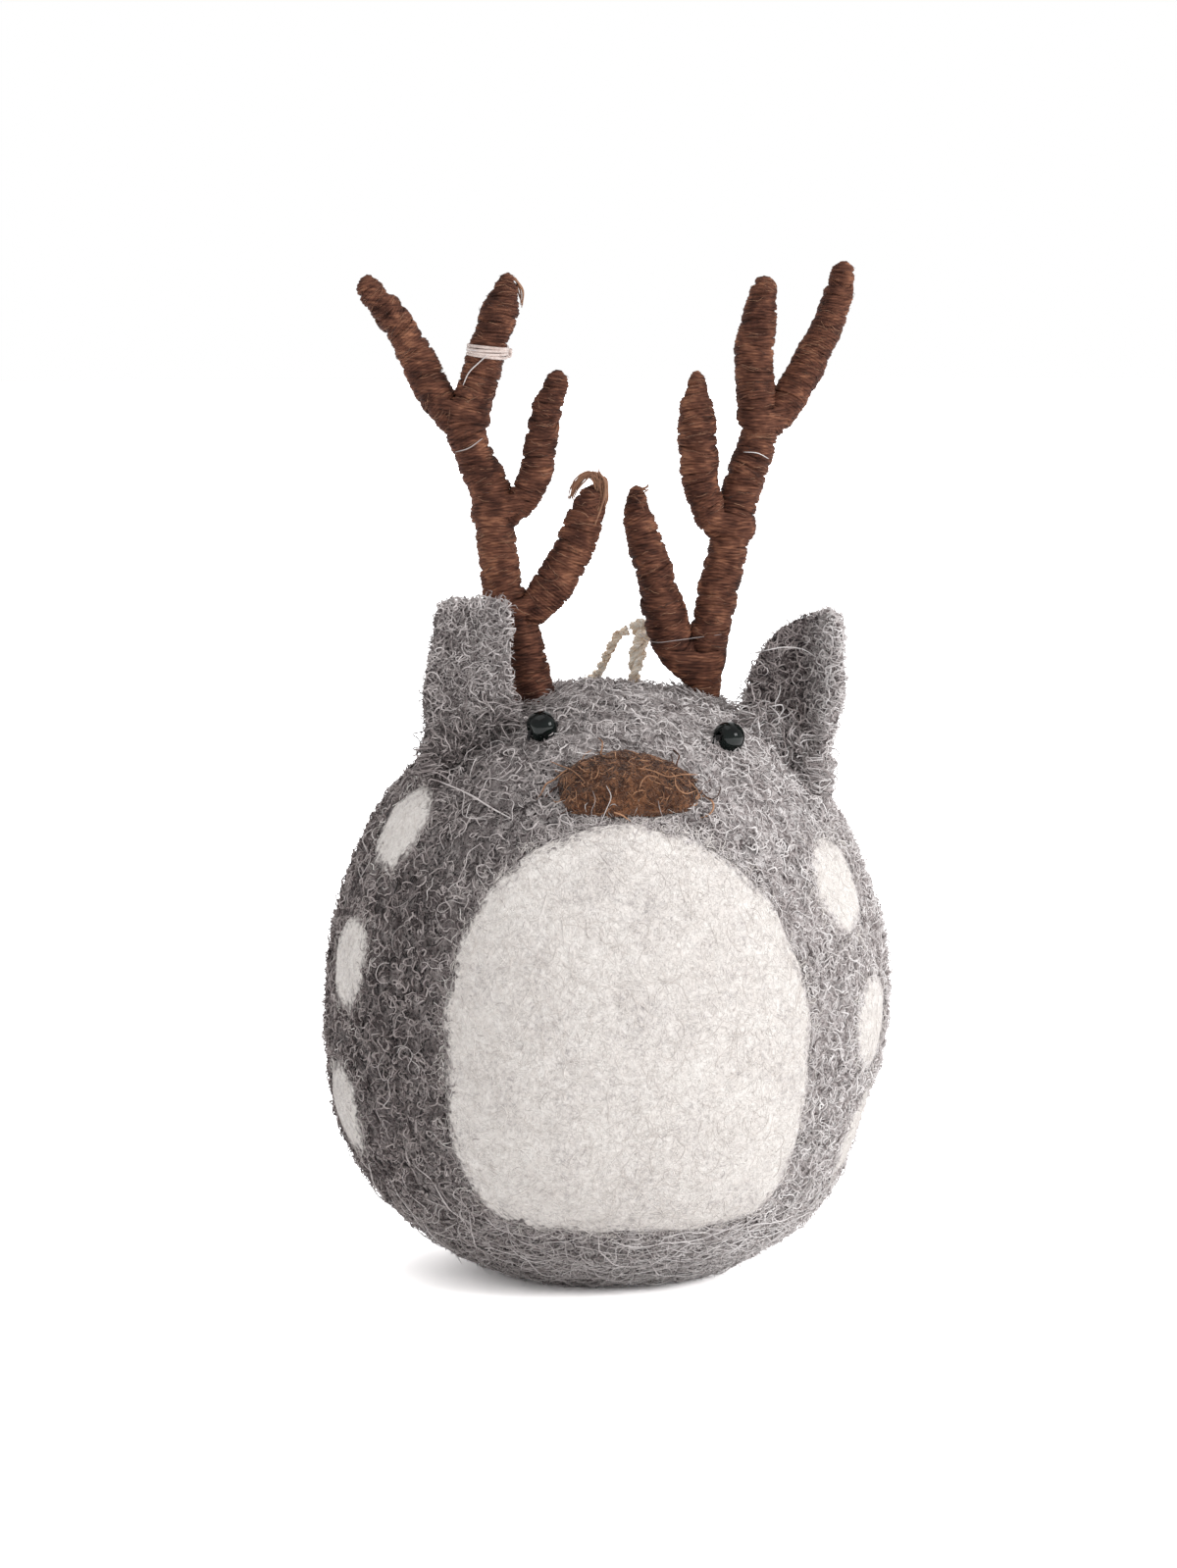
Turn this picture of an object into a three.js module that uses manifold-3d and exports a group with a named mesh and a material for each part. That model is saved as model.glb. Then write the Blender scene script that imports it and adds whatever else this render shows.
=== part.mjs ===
// A reindeer ball of needle-felted wool, with wire antlers wound in thread and a twine loop.
// Millimetres, +Z up, the face looks along -Y. Left and right are as seen from the front.
// The origin is the middle of the flat on which the ball stands.
import * as THREE from 'three';
import { mergeVertices } from 'three/addons/utils/BufferGeometryUtils.js';
import Module from 'manifold-3d';

const wasm = await Module();
wasm.setup();

// Fits
const GAP = 0.3; // between pieces that touch
const OVERRUN = 2; // how far a cut runs past the piece that it opens

// Ball: an egg of revolution, fuller below its widest level than above it
const BALL_RADIUS = 30.2;
const MIDDLE_HEIGHT = 29.5; // widest level above the table
const UPPER_REACH = 34.6; // widest level to crown
const UPPER_FULLNESS = 2.1;
const LOWER_FULLNESS = 2.35;
const FLAT_DEPTH = 0.5; // wool pressed flat where the ball stands
const FELT_LAYER = 8; // grey wool over the core

// Felt pads let into the ball
const PAD_EDGE = 0.5; // thickness left at a pad's rim
const BELLY_WIDTH = 41.6;
const BELLY_HEIGHT = 43.8;
const BELLY_BULGE = 0.9;
const BELLY_SINK = 1.3;
const NOSE_WIDTH = 14.6;
const NOSE_HEIGHT = 8;
const NOSE_BULGE = 1.8;
const NOSE_SINK = 1.6;
const SPOT_WIDTH = 9.2;
const SPOT_HEIGHT = 10.6;
const SPOT_BULGE = 0.5;
const SPOT_SINK = 0.9;

// Ears: cupped felt, cut flat across the thickness
const EAR_WIDTH = 10.5;
const LEFT_EAR_LENGTH = 19.1;
const RIGHT_EAR_LENGTH = 17.6;
const EAR_THICKNESS = 2.8;
const LEFT_EAR_CUP = 1.6;
const RIGHT_EAR_CUP = 2.6;
const LEFT_EAR_SINK = 2.4; // root below the ball's surface
const RIGHT_EAR_SINK = 0.2;

// Eyes: glass seed beads, each sewn on with one stitch
const BEAD_DIAMETER = 3.3;
const BEAD_LENGTH = 2.8;
const BEAD_BORE = 1.1;
const BEAD_FULLNESS = 0.8;
const BEAD_SINK = 0.7;
const STITCH_DIAMETER = 0.46;
const STITCH_DEPTH = 5;
const STITCH_BEND = 0.8;

// Antlers: a branched wire, wound in thread
const ANTLER_HEIGHT = 46;
const WOUND_RADIUS = 2.1;
const RIDGE_PITCH = 3.2; // one bundle of thread to the next
const RIDGE_HEIGHT = 0.13;
const WIRE_RADIUS = 0.6;
const WIRE_LEG = 15; // straight wire below the winding, in the wool
const TIP_COVER = 2.2; // thread wound past the end of a wire
const TIE_HEIGHT = 1.3;
const TIE_THICKNESS = 0.4;
const TIE_SINK = 0.1; // how far the tie bites into the winding
const TIE_KNOT_RADIUS = 0.7;

// Hanging loop
const TWINE_DIAMETER = 1.1;
const ROOT_WIDTH = 2.1; // two strands side by side
const KNOT_RADIUS = 1.45;
const TWINE_STEP_SHARE = 2.8; // of the diameter, from one section to the next

// Places on the ball, in degrees: turn from the face towards +X, rise above the widest level
const NOSE_PLACE = { turn: 0.4, rise: 51 };
const BELLY_PLACE = { turn: 0, rise: -0.2 };
const EYE_PLACES = {
  left: { turn: -31.7, rise: 63.4, roll: 50 }, // roll of the bore above level
  right: { turn: 41.6, rise: 59.6, roll: -12 },
};
const SPOT_PLACES = {
  left_upper: { turn: -66.5, rise: 39.5, lean: -2 },
  left_middle: { turn: -73, rise: 11, lean: 0 },
  left_lower: { turn: -77, rise: -19, lean: 3 },
  right_upper: { turn: 56, rise: 27.5, lean: 2 },
  right_middle: { turn: 65, rise: -1.5, lean: -1 },
  right_lower: { turn: 73, rise: -25, lean: -4 },
  back_1: { turn: -112, rise: 25, lean: 3 },
  back_2: { turn: -118, rise: -8, lean: -2 },
  back_3: { turn: 106, rise: 12, lean: -3 },
  back_4: { turn: 112, rise: -21, lean: 2 },
  back_5: { turn: -151, rise: 8, lean: 0 },
  back_6: { turn: 149, rise: 16, lean: 2 },
};

// Outlines of the ears: height as a share of its length, then its left and right edge
// as shares of the ear's width, from the root upwards
const LEFT_EAR_SHARES = [
  [-0.22, -0.22, 0.2],
  [0.08, -0.41, 0.36],
  [0.25, -0.46, 0.45],
  [0.42, -0.49, 0.48],
  [0.58, -0.45, 0.48],
  [0.75, -0.4, 0.47],
  [0.92, -0.33, 0.46],
  [0.98, -0.29, 0.43],
  [1, -0.16, 0.32],
];
const RIGHT_EAR_SHARES = [
  [-0.16, 0, 0.2],
  [0.05, -0.16, 0.28],
  [0.18, -0.37, 0.34],
  [0.32, -0.53, 0.41],
  [0.46, -0.55, 0.48],
  [0.62, -0.49, 0.5],
  [0.75, -0.38, 0.49],
  [0.86, -0.2, 0.49],
  [0.94, -0.02, 0.46],
  [1, 0.18, 0.36],
];
const EAR_TOP_SHARE = 0.55; // thickness left at an ear's top edge

// Centre lines of the antlers, as shares of their height from where they leave the ball:
// across, depth, up, and last the thickness as a share of the wound radius
const LEFT_BEAM_SHARES = [
  [0.002, 0, -0.06, 1.05],
  [-0.02, 0.005, 0.042, 1.05],
  [-0.046, 0.01, 0.153, 1.04],
  [-0.083, 0.01, 0.253, 1.02],
  [-0.1, 0.015, 0.363, 1],
  [-0.11, 0.02, 0.463, 1.05],
  [-0.15, 0.02, 0.568, 0.98],
  [-0.17, 0.02, 0.643, 1.05],
  [-0.15, 0.02, 0.703, 1.02],
  [-0.13, 0.015, 0.778, 1],
  [-0.108, 0.01, 0.848, 0.9],
  [-0.09, 0.01, 0.908, 0.92],
  [-0.077, 0.01, 0.958, 0.75],
  [-0.07, 0.01, 0.99, 0.5],
];
const LEFT_OUTER_SHARES = [
  [-0.158, 0.02, 0.6, 0.4],
  [-0.188, 0.03, 0.64, 0.8],
  [-0.238, 0.045, 0.706, 0.92],
  [-0.272, 0.055, 0.776, 0.88],
  [-0.312, 0.06, 0.848, 0.84],
  [-0.357, 0.06, 0.91, 0.78],
  [-0.389, 0.055, 0.95, 0.62],
  [-0.397, 0.05, 0.98, 0.42],
];
const LEFT_MIDDLE_SHARES = [
  [-0.104, 0.018, 0.4, 0.4],
  [-0.06, 0.01, 0.437, 0.74],
  [-0.018, -0.01, 0.51, 0.86],
  [0.001, -0.025, 0.596, 0.82],
  [0.013, -0.03, 0.672, 0.78],
  [0.032, -0.03, 0.722, 0.68],
  [0.046, -0.03, 0.765, 0.52],
];
const LEFT_INNER_SHARES = [
  [-0.05, 0.01, 0.16, 0.4],
  [-0.015, 0, 0.211, 0.9],
  [0.028, -0.015, 0.266, 0.99],
  [0.067, -0.025, 0.336, 0.97],
  [0.096, -0.03, 0.402, 0.95],
  [0.12, -0.03, 0.47, 0.88],
  [0.134, -0.03, 0.535, 0.62],
];
const RIGHT_BEAM_SHARES = [
  [0.008, 0.01, -0.06, 0.8],
  [0.003, 0, 0.042, 0.88],
  [0.01, -0.01, 0.123, 0.98],
  [0.022, -0.015, 0.193, 1.02],
  [0.053, -0.015, 0.328, 1],
  [0.086, -0.01, 0.468, 1],
  [0.108, -0.005, 0.538, 1.02],
  [0.131, 0, 0.608, 0.97],
  [0.133, 0, 0.648, 0.98],
  [0.122, -0.005, 0.723, 1],
  [0.121, -0.01, 0.813, 0.97],
  [0.13, -0.015, 0.888, 0.9],
  [0.14, -0.015, 0.948, 0.76],
  [0.155, -0.015, 0.99, 0.48],
];
const RIGHT_OUTER_SHARES = [
  [0.131, 0, 0.61, 0.4],
  [0.162, 0.01, 0.652, 0.82],
  [0.207, 0.025, 0.705, 0.94],
  [0.248, 0.035, 0.777, 0.88],
  [0.286, 0.04, 0.85, 0.82],
  [0.317, 0.04, 0.922, 0.76],
  [0.334, 0.035, 0.982, 0.68],
  [0.34, 0.03, 1.023, 0.5],
];
const RIGHT_MIDDLE_SHARES = [
  [0.065, -0.013, 0.378, 0.4],
  [0.026, -0.02, 0.42, 0.8],
  [-0.004, -0.035, 0.493, 0.95],
  [-0.012, -0.045, 0.57, 1.02],
  [-0.018, -0.05, 0.643, 1],
  [-0.019, -0.05, 0.708, 0.84],
  [-0.017, -0.05, 0.77, 0.42],
];
const RIGHT_INNER_SHARES = [
  [0.004, 0, 0.035, 0.5],
  [-0.034, -0.01, 0.085, 0.9],
  [-0.072, -0.02, 0.143, 1.08],
  [-0.094, -0.03, 0.218, 1.04],
  [-0.111, -0.035, 0.29, 0.97],
  [-0.135, -0.04, 0.365, 0.93],
  [-0.155, -0.04, 0.44, 0.82],
  [-0.158, -0.04, 0.505, 0.5],
];
const TIE_SHARE = 0.836; // place of the white tie along the left beam
const TIE_BEVEL_SHARE = 0.33;
const TIE_TILT = -5; // degrees off square

// Forms and places of the pads, ears and antlers
const BELLY = {
  width: BELLY_WIDTH,
  height: BELLY_HEIGHT,
  bulge: BELLY_BULGE,
  sink: BELLY_SINK,
  upperFullness: 2.7,
  lowerFullness: 3.7,
  flatness: 4,
  sides: 28,
  rings: 4,
};
const NOSE = {
  width: NOSE_WIDTH,
  height: NOSE_HEIGHT,
  bulge: NOSE_BULGE,
  sink: NOSE_SINK,
  upperFullness: 2.4,
  lowerFullness: 3,
  flatness: 2.4,
  sides: 18,
  rings: 3,
};
const SPOT = {
  width: SPOT_WIDTH,
  height: SPOT_HEIGHT,
  bulge: SPOT_BULGE,
  sink: SPOT_SINK,
  upperFullness: 2.3,
  lowerFullness: 2.3,
  flatness: 3,
  sides: 12,
  rings: 2,
};
const LEFT_EAR = {
  turn: -62.9,
  rise: 54.9,
  hollowTurn: 0,
  sink: LEFT_EAR_SINK,
  length: LEFT_EAR_LENGTH,
  cup: LEFT_EAR_CUP,
  shares: LEFT_EAR_SHARES,
};
const RIGHT_EAR = {
  turn: 75.5,
  rise: 49.6,
  hollowTurn: -28,
  sink: RIGHT_EAR_SINK,
  length: RIGHT_EAR_LENGTH,
  cup: RIGHT_EAR_CUP,
  shares: RIGHT_EAR_SHARES,
};
const LEFT_ANTLER = {
  turn: -60.3,
  rise: 75.1,
  beamRows: LEFT_BEAM_SHARES,
  tineRows: { outer: LEFT_OUTER_SHARES, middle: LEFT_MIDDLE_SHARES, inner: LEFT_INNER_SHARES },
};
const RIGHT_ANTLER = {
  turn: 81.7,
  rise: 72.9,
  beamRows: RIGHT_BEAM_SHARES,
  tineRows: { outer: RIGHT_OUTER_SHARES, middle: RIGHT_MIDDLE_SHARES, inner: RIGHT_INNER_SHARES },
};

// Routes of the twine: the doubled root out of the crown, and the loop that lies over the back
const ROOT_ROUTE = [
  [3.1, 3.6, 57.8],
  [3.2, 3.8, 63.6],
  [3.6, 4.3, 66.8],
  [4.4, 5, 69.5],
];
const LOOP_ROUTE = [
  [2.6, 5, 69.5],
  [1.7, 5.1, 69.1],
  [0.7, 5.9, 67.3],
  [-0.4, 7.9, 64.6],
  [-1.5, 11.2, 63.2],
  [-2.5, 14.9, 61.2],
  [-3.4, 18.6, 58.3],
  [-4.2, 22.3, 54.3],
  [-4.8, 25.6, 49.5],
  [-5.2, 28.4, 43.9],
  [-5.4, 30.4, 37.4],
  [-5.3, 31.3, 31],
  [-4.9, 31.6, 24.8],
  [-4.1, 31.6, 19.2],
  [-2.3, 31.6, 14.8],
  [0.6, 31.6, 13.4],
  [3.4, 31.6, 15],
  [5, 31.6, 19.6],
  [6.1, 31.5, 25.2],
  [7, 31, 31.2],
  [7.8, 29.9, 37.4],
  [8.6, 27.7, 43.9],
  [9.3, 24.6, 49.5],
  [9.8, 20.9, 54.2],
  [10.1, 16.8, 58],
  [10.1, 12.8, 60.9],
  [9.7, 9.3, 63.3],
  [8.9, 6.7, 66.2],
  [7.6, 5.3, 68.7],
  [6.2, 5, 69.5],
];

// Facets
const BALL_SIDES = 36;
const BALL_RINGS = 20;
const CORE_SIDES = 20;
const CORE_RINGS = 10;
const WOUND_SIDES = 8;
const RINGS_PER_RIDGE = 3;
const WIRE_SIDES = 6;
const BEAM_WIRE_STEPS = 10;
const TINE_WIRE_STEPS = 5;
const TIE_SIDES = 20;
const EAR_SIDES = 14;
const BEAD_SIDES = 12;
const BEAD_BENDS = 6;
const STITCH_STEPS = 14;
const TWINE_SIDES = 8;
const ROOT_SIDES = 12;
const ROOT_STEPS = 8;

const LOWER_REACH = MIDDLE_HEIGHT + FLAT_DEPTH;
const FLAT_SHARE = (1 - (MIDDLE_HEIGHT / LOWER_REACH) ** LOWER_FULLNESS) ** (1 / LOWER_FULLNESS);
const MIDDLE = new THREE.Vector3(0, 0, MIDDLE_HEIGHT);
const { degToRad, radToDeg, lerp } = THREE.MathUtils;

// Closed geometry as a solid with its faces pointing out
function solid(geometry) {
  const bare = geometry.clone();
  bare.deleteAttribute('normal');
  bare.deleteAttribute('uv');
  const merged = mergeVertices(bare);
  const points = merged.attributes.position;
  const corner = (i) => new THREE.Vector3().fromBufferAttribute(points, merged.index.array[i]);
  const faces = [];
  let volume = 0;
  for (let i = 0; i < merged.index.count; i += 3) {
    const face = Array.from(merged.index.array.slice(i, i + 3));
    if (new Set(face).size < face.length) continue;
    faces.push(face);
    volume += corner(i).dot(corner(i + 1).cross(corner(i + 2)));
  }
  const triVerts = new Uint32Array(faces.flatMap((face) => (volume < 0 ? face.reverse() : face)));
  const vertProperties = new Float32Array(points.array);
  return new wasm.Manifold(new wasm.Mesh({ numProp: 3, vertProperties, triVerts }));
}

function geometryOf(body) {
  const mesh = body.getMesh();
  const geometry = new THREE.BufferGeometry();
  geometry.setAttribute('position', new THREE.BufferAttribute(mesh.vertProperties, 3));
  geometry.setIndex(new THREE.BufferAttribute(mesh.triVerts, 1));
  geometry.computeVertexNormals();
  return geometry;
}

// The largest separate piece of a body, which drops the crumbs of a cut
function largest(body) {
  return body.decompose().reduce((best, piece) => (piece.volume() > best.volume() ? piece : best));
}

function cut(body, cutters) {
  return cutters.reduce((rest, cutter) => rest.subtract(cutter), body);
}

// Angles of equally many points round a section
function anglesRound(sides) {
  return Array.from({ length: sides }, (_, side) => (2 * Math.PI * side) / sides);
}

// Skin over rings of equally many points, closed by a fan at each end
function loft(rings, firstTip, lastTip) {
  const sides = rings[0].length;
  const points = [...rings.flat(), firstTip, lastTip];
  const first = points.length - 2;
  const last = points.length - 1;
  const index = [];
  for (let side = 0; side < sides; side++) {
    const next = (side + 1) % sides;
    for (let ring = 0; ring < rings.length - 1; ring++) {
      const low = ring * sides;
      const high = low + sides;
      index.push(low + side, low + next, high + next, low + side, high + next, high + side);
    }
    const top = (rings.length - 1) * sides;
    index.push(first, next, side, last, top + side, top + next);
  }
  const geometry = new THREE.BufferGeometry().setFromPoints(points);
  geometry.setIndex(index);
  return solid(geometry);
}

function oval(halfWidth, halfHeight, sides) {
  const corner = (angle) => new THREE.Vector2(halfWidth * Math.cos(angle), halfHeight * Math.sin(angle));
  return new THREE.Shape(anglesRound(sides).map(corner));
}

function circle(radius, sides) {
  return oval(radius, radius, sides);
}

function ball(radius, detail, centre) {
  return solid(new THREE.IcosahedronGeometry(radius, detail).translate(...centre));
}

function tube(path, section, steps) {
  return solid(new THREE.ExtrudeGeometry(section, { steps, extrudePath: path, bevelEnabled: false }));
}

function smooth(points) {
  return new THREE.CatmullRomCurve3(points, false, 'centripetal');
}

// Distance from the ball's middle to its surface, or to a like surface a layer further out
function reach(direction, layer = 0) {
  const above = direction.z > 0;
  const fullness = above ? UPPER_FULLNESS : LOWER_FULLNESS;
  const across = Math.hypot(direction.x, direction.y) / (BALL_RADIUS + layer);
  const up = Math.abs(direction.z) / ((above ? UPPER_REACH : LOWER_REACH) + layer);
  return (across ** fullness + up ** fullness) ** (-1 / fullness);
}

function aim(turn, rise) {
  const [around, upward] = [degToRad(turn), degToRad(rise)];
  const level = Math.cos(upward);
  return new THREE.Vector3(Math.sin(around) * level, -Math.cos(around) * level, Math.sin(upward));
}

function onBall(turn, rise, height = 0) {
  const direction = aim(turn, rise);
  return direction.multiplyScalar(reach(direction) + height).add(MIDDLE);
}

// Egg a layer outside the ball's surface, or inside it, cut flat if it stands on the table
function egg(layer, sides, rings, standing = false) {
  const lowest = standing ? -Math.atan2(MIDDLE_HEIGHT, FLAT_SHARE * BALL_RADIUS) : -Math.PI / 2;
  const outline = standing ? [new THREE.Vector2(0, -MIDDLE_HEIGHT)] : [];
  for (let ring = 0; ring <= rings; ring++) {
    const rise = lerp(lowest, Math.PI / 2, ring / rings);
    const distance = reach(new THREE.Vector3(Math.cos(rise), 0, Math.sin(rise)), layer);
    outline.push(new THREE.Vector2(distance * Math.cos(rise), distance * Math.sin(rise)));
  }
  const geometry = new THREE.LatheGeometry(outline, sides);
  return solid(geometry.rotateX(Math.PI / 2).translate(...MIDDLE));
}

// Felt pad let into the ball, or with grow the dish that it lies in
function pad({ turn, rise, lean = 0 }, form, grow = 0) {
  const distance = reach(aim(turn, rise));
  const halfRise = radToDeg((form.height / 2 + grow) / distance);
  const halfTurn = radToDeg((form.width / 2 + grow) / (distance * Math.cos(degToRad(rise))));
  const point = (angle, share, height) => {
    const fullness = Math.sin(angle) > 0 ? form.upperFullness : form.lowerFullness;
    const across = Math.abs(Math.cos(angle)) ** fullness;
    const out = share * (across + Math.abs(Math.sin(angle)) ** fullness) ** (-1 / fullness);
    const up = out * Math.sin(angle);
    return onBall(turn + halfTurn * out * Math.cos(angle) + lean * up, rise + halfRise * up, height);
  };
  const dome = (share) => Math.sqrt(1 - share ** form.flatness);
  const top = (share) => (grow ? OVERRUN + form.bulge : form.bulge * dome(share));
  const under = (share) => -PAD_EDGE - grow - (form.sink - PAD_EDGE) * dome(share);
  const ring = (share, height) => anglesRound(form.sides).map((angle) => point(angle, share, height));
  const shares = Array.from({ length: form.rings }, (_, i) => (i + 1) / form.rings);
  const rings = [
    ...shares.map((share) => ring(share, top(share))),
    ...shares.reverse().map((share) => ring(share, under(share))),
  ];
  return loft(rings, onBall(turn, rise, top(0)), onBall(turn, rise, under(0)));
}

// Cupped ear: each section is a lens bent round the hollow, which looks along its own -Y
function ear({ turn, rise, hollowTurn, sink, length, cup, shares }) {
  const section = ([up, left, right], thickness) => {
    const half = ((right - left) * EAR_WIDTH) / 2;
    const middle = ((right + left) * EAR_WIDTH) / 2;
    return anglesRound(EAR_SIDES).map((angle) => {
      const across = Math.cos(angle);
      const depth = (thickness / 2) * Math.sin(angle) - cup * across ** 2;
      return new THREE.Vector3(middle + half * across, depth, up * length);
    });
  };
  const rings = shares.slice(0, -1).map((row) => section(row, EAR_THICKNESS));
  rings.push(section(shares.at(-1), EAR_THICKNESS * EAR_TOP_SHARE));
  const centre = (ring) => ring.reduce((sum, p) => sum.add(p), new THREE.Vector3()).divideScalar(ring.length);
  const place = new THREE.Matrix4().makeRotationZ(degToRad(hollowTurn));
  place.setPosition(onBall(turn, rise, -sink));
  const ends = [centre(rings[0]), centre(rings.at(-1))];
  [...rings.flat(), ...ends].forEach((point) => point.applyMatrix4(place));
  return loft(rings, ...ends);
}

// Frame of an eye: its origin in the bead's centre, X along the bore, Z out of the ball
function eyeFrame({ turn, rise, roll }) {
  const out = aim(turn, rise);
  const along = new THREE.Vector3(0, 0, 1).cross(out).normalize().applyAxisAngle(out, degToRad(roll));
  const frame = new THREE.Matrix4().makeBasis(along, out.clone().cross(along), out);
  return frame.setPosition(onBall(turn, rise, BEAD_DIAMETER / 2 - BEAD_SINK));
}

function bead(frame) {
  const outline = [];
  for (let bend = 0; bend <= BEAD_BENDS; bend++) {
    const angle = lerp(-Math.PI / 2, Math.PI / 2, bend / BEAD_BENDS);
    const roundness = bend % BEAD_BENDS ? Math.cos(angle) ** BEAD_FULLNESS : 0;
    const radius = lerp(BEAD_BORE / 2, BEAD_DIAMETER / 2, roundness);
    outline.push(new THREE.Vector2(radius, (BEAD_LENGTH / 2) * Math.sin(angle)));
  }
  outline.push(outline[0].clone());
  const geometry = new THREE.LatheGeometry(outline, BEAD_SIDES).rotateZ(Math.PI / 2);
  return solid(geometry.applyMatrix4(frame));
}

function beadDish(frame) {
  return solid(new THREE.IcosahedronGeometry(BEAD_DIAMETER / 2 + GAP, 2).applyMatrix4(frame));
}

// One stitch through the bead, both ends in the felt; grow gives the channel round it
function stitch(frame, grow = 0) {
  const inner = BEAD_LENGTH / 2;
  const outer = inner + STITCH_BEND;
  const low = -STITCH_DEPTH - grow;
  const at = (x, z) => new THREE.Vector3(x, 0, z).applyMatrix4(frame);
  const path = new THREE.CurvePath();
  path.add(new THREE.LineCurve3(at(-outer, low), at(-outer, -STITCH_BEND)));
  path.add(new THREE.QuadraticBezierCurve3(at(-outer, -STITCH_BEND), at(-outer, 0), at(-inner, 0)));
  path.add(new THREE.LineCurve3(at(-inner, 0), at(inner, 0)));
  path.add(new THREE.QuadraticBezierCurve3(at(inner, 0), at(outer, 0), at(outer, -STITCH_BEND)));
  path.add(new THREE.LineCurve3(at(outer, -STITCH_BEND), at(outer, low)));
  return tube(path, circle(STITCH_DIAMETER / 2 + grow, WIRE_SIDES), STITCH_STEPS);
}

// Centre line of a beam or tine, with its wound radius at any share of the way along
function branch(base, rows) {
  const place = ([across, depth, up]) => new THREE.Vector3(across, depth, up).multiplyScalar(ANTLER_HEIGHT);
  const path = smooth(rows.map((row) => place(row).add(base)));
  const radius = (share) => {
    const row = path.getUtoTmapping(share) * (rows.length - 1);
    const low = Math.min(Math.floor(row), rows.length - 2);
    return WOUND_RADIUS * lerp(rows[low][3], rows[low + 1][3], row - low);
  };
  return { path, radius, length: path.getLength() };
}

// Thread wound round a branch: a sleeve whose ridge climbs once round for each pitch, domed at the tip
function winding({ path, radius, length }, grow = 0) {
  const steps = Math.ceil((length * RINGS_PER_RIDGE) / RIDGE_PITCH);
  const frames = path.computeFrenetFrames(steps, false);
  const tipRadius = radius(1);
  const rings = [];
  for (let step = 0; step < steps; step++) {
    const travelled = (length * step) / steps;
    const tipDepth = Math.max(0, 1 - (length - travelled) / tipRadius);
    const size = radius(step / steps) * Math.sqrt(1 - tipDepth ** 2) + grow;
    const centre = path.getPointAt(step / steps);
    const [normal, binormal] = [frames.normals[step], frames.binormals[step]];
    rings.push(anglesRound(WOUND_SIDES).map((angle) => {
      const ridge = RIDGE_HEIGHT * Math.sin((2 * Math.PI * travelled) / RIDGE_PITCH - angle);
      const out = size + ridge * (1 - tipDepth);
      return centre.clone()
        .addScaledVector(normal, out * Math.cos(angle))
        .addScaledVector(binormal, out * Math.sin(angle));
    }));
  }
  const tip = path.getPointAt(1).addScaledVector(path.getTangentAt(1), grow);
  return loft(rings, path.getPointAt(0), tip);
}

// Wire in the middle of a branch, with any straight leg below it; grow gives the bore round it
function wire({ path, length }, leg, steps, grow = 0) {
  const end = (length - TIP_COVER) / length;
  const points = [];
  for (let step = 0; step <= steps; step++) points.push(path.getPointAt((end * step) / steps));
  if (leg) points.unshift(points[0].clone().setZ(points[0].z - leg));
  const radius = WIRE_RADIUS + grow;
  const body = tube(smooth(points), circle(radius, WIRE_SIDES), points.length);
  return grow ? body.add(ball(radius, 1, points[0])).add(ball(radius, 1, points.at(-1))) : body;
}

function wireTree(beam, tines, grow = 0) {
  const stem = wire(beam, WIRE_LEG, BEAM_WIRE_STEPS, grow);
  return tines.reduce((tree, tine) => tree.add(wire(tine, 0, TINE_WIRE_STEPS, grow)), stem);
}

// An antler's windings and wires, the bore that the wires need, and its beam's centre line
function antler({ turn, rise, beamRows, tineRows }, cutters) {
  const base = onBall(turn, rise);
  const beam = branch(base, beamRows);
  const tines = Object.entries(tineRows).map(([name, rows]) => ({ name, ...branch(base, rows) }));
  const bore = wireTree(beam, tines, GAP);
  const beamSide = winding(beam, GAP);
  const windings = { beam: largest(cut(winding(beam), [...cutters, bore])) };
  for (const tine of tines) windings[tine.name] = largest(cut(winding(tine), [beamSide, ...cutters, bore]));
  return { beam, bore, windings, wires: wireTree(beam, tines) };
}

// White thread tied into a winding: a low band with its knot on the right; grow gives its groove
function tie({ path, radius }, grow = 0) {
  const inner = radius(TIE_SHARE) - TIE_SINK - grow;
  const outer = inner + TIE_THICKNESS + (grow && OVERRUN);
  const [bevel, half] = [grow ? 0 : TIE_THICKNESS * TIE_BEVEL_SHARE, TIE_HEIGHT / 2 + grow];
  const outline = [
    [inner, -half],
    [outer - bevel, -half],
    [outer, bevel - half],
    [outer, half - bevel],
    [outer - bevel, half],
    [inner, half],
    [inner, -half],
  ].map(([x, y]) => new THREE.Vector2(x, y));
  const band = solid(new THREE.LatheGeometry(outline, TIE_SIDES));
  const knot = ball(TIE_KNOT_RADIUS + grow, 1, [inner + TIE_KNOT_RADIUS, 0, 0]);
  const along = new THREE.Vector3(0, 1, 0);
  const upright = new THREE.Quaternion().setFromUnitVectors(along, path.getTangentAt(TIE_SHARE));
  const tilt = new THREE.Quaternion().setFromAxisAngle(along, degToRad(TIE_TILT));
  const place = new THREE.Matrix4().makeRotationFromQuaternion(tilt.multiply(upright));
  place.setPosition(path.getPointAt(TIE_SHARE));
  return band.add(knot).transform(place.elements);
}

// Doubled twine out of the crown and the knot that ends it; grow gives its hole
function loopRoot(grow = 0) {
  const points = ROOT_ROUTE.map((point) => new THREE.Vector3(...point));
  points[0].z -= grow;
  const section = oval(ROOT_WIDTH / 2 + grow, TWINE_DIAMETER / 2 + grow, ROOT_SIDES);
  return tube(smooth(points), section, ROOT_STEPS).add(ball(KNOT_RADIUS + grow, 1, points.at(-1)));
}

function loopStrand() {
  const path = smooth(LOOP_ROUTE.map((point) => new THREE.Vector3(...point)));
  const steps = Math.round(path.getLength() / (TWINE_STEP_SHARE * TWINE_DIAMETER));
  return tube(path, circle(TWINE_DIAMETER / 2, TWINE_SIDES), steps);
}

function finish(color, roughness, metalness = 0) {
  return new THREE.MeshStandardMaterial({ color, roughness, metalness });
}

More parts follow.
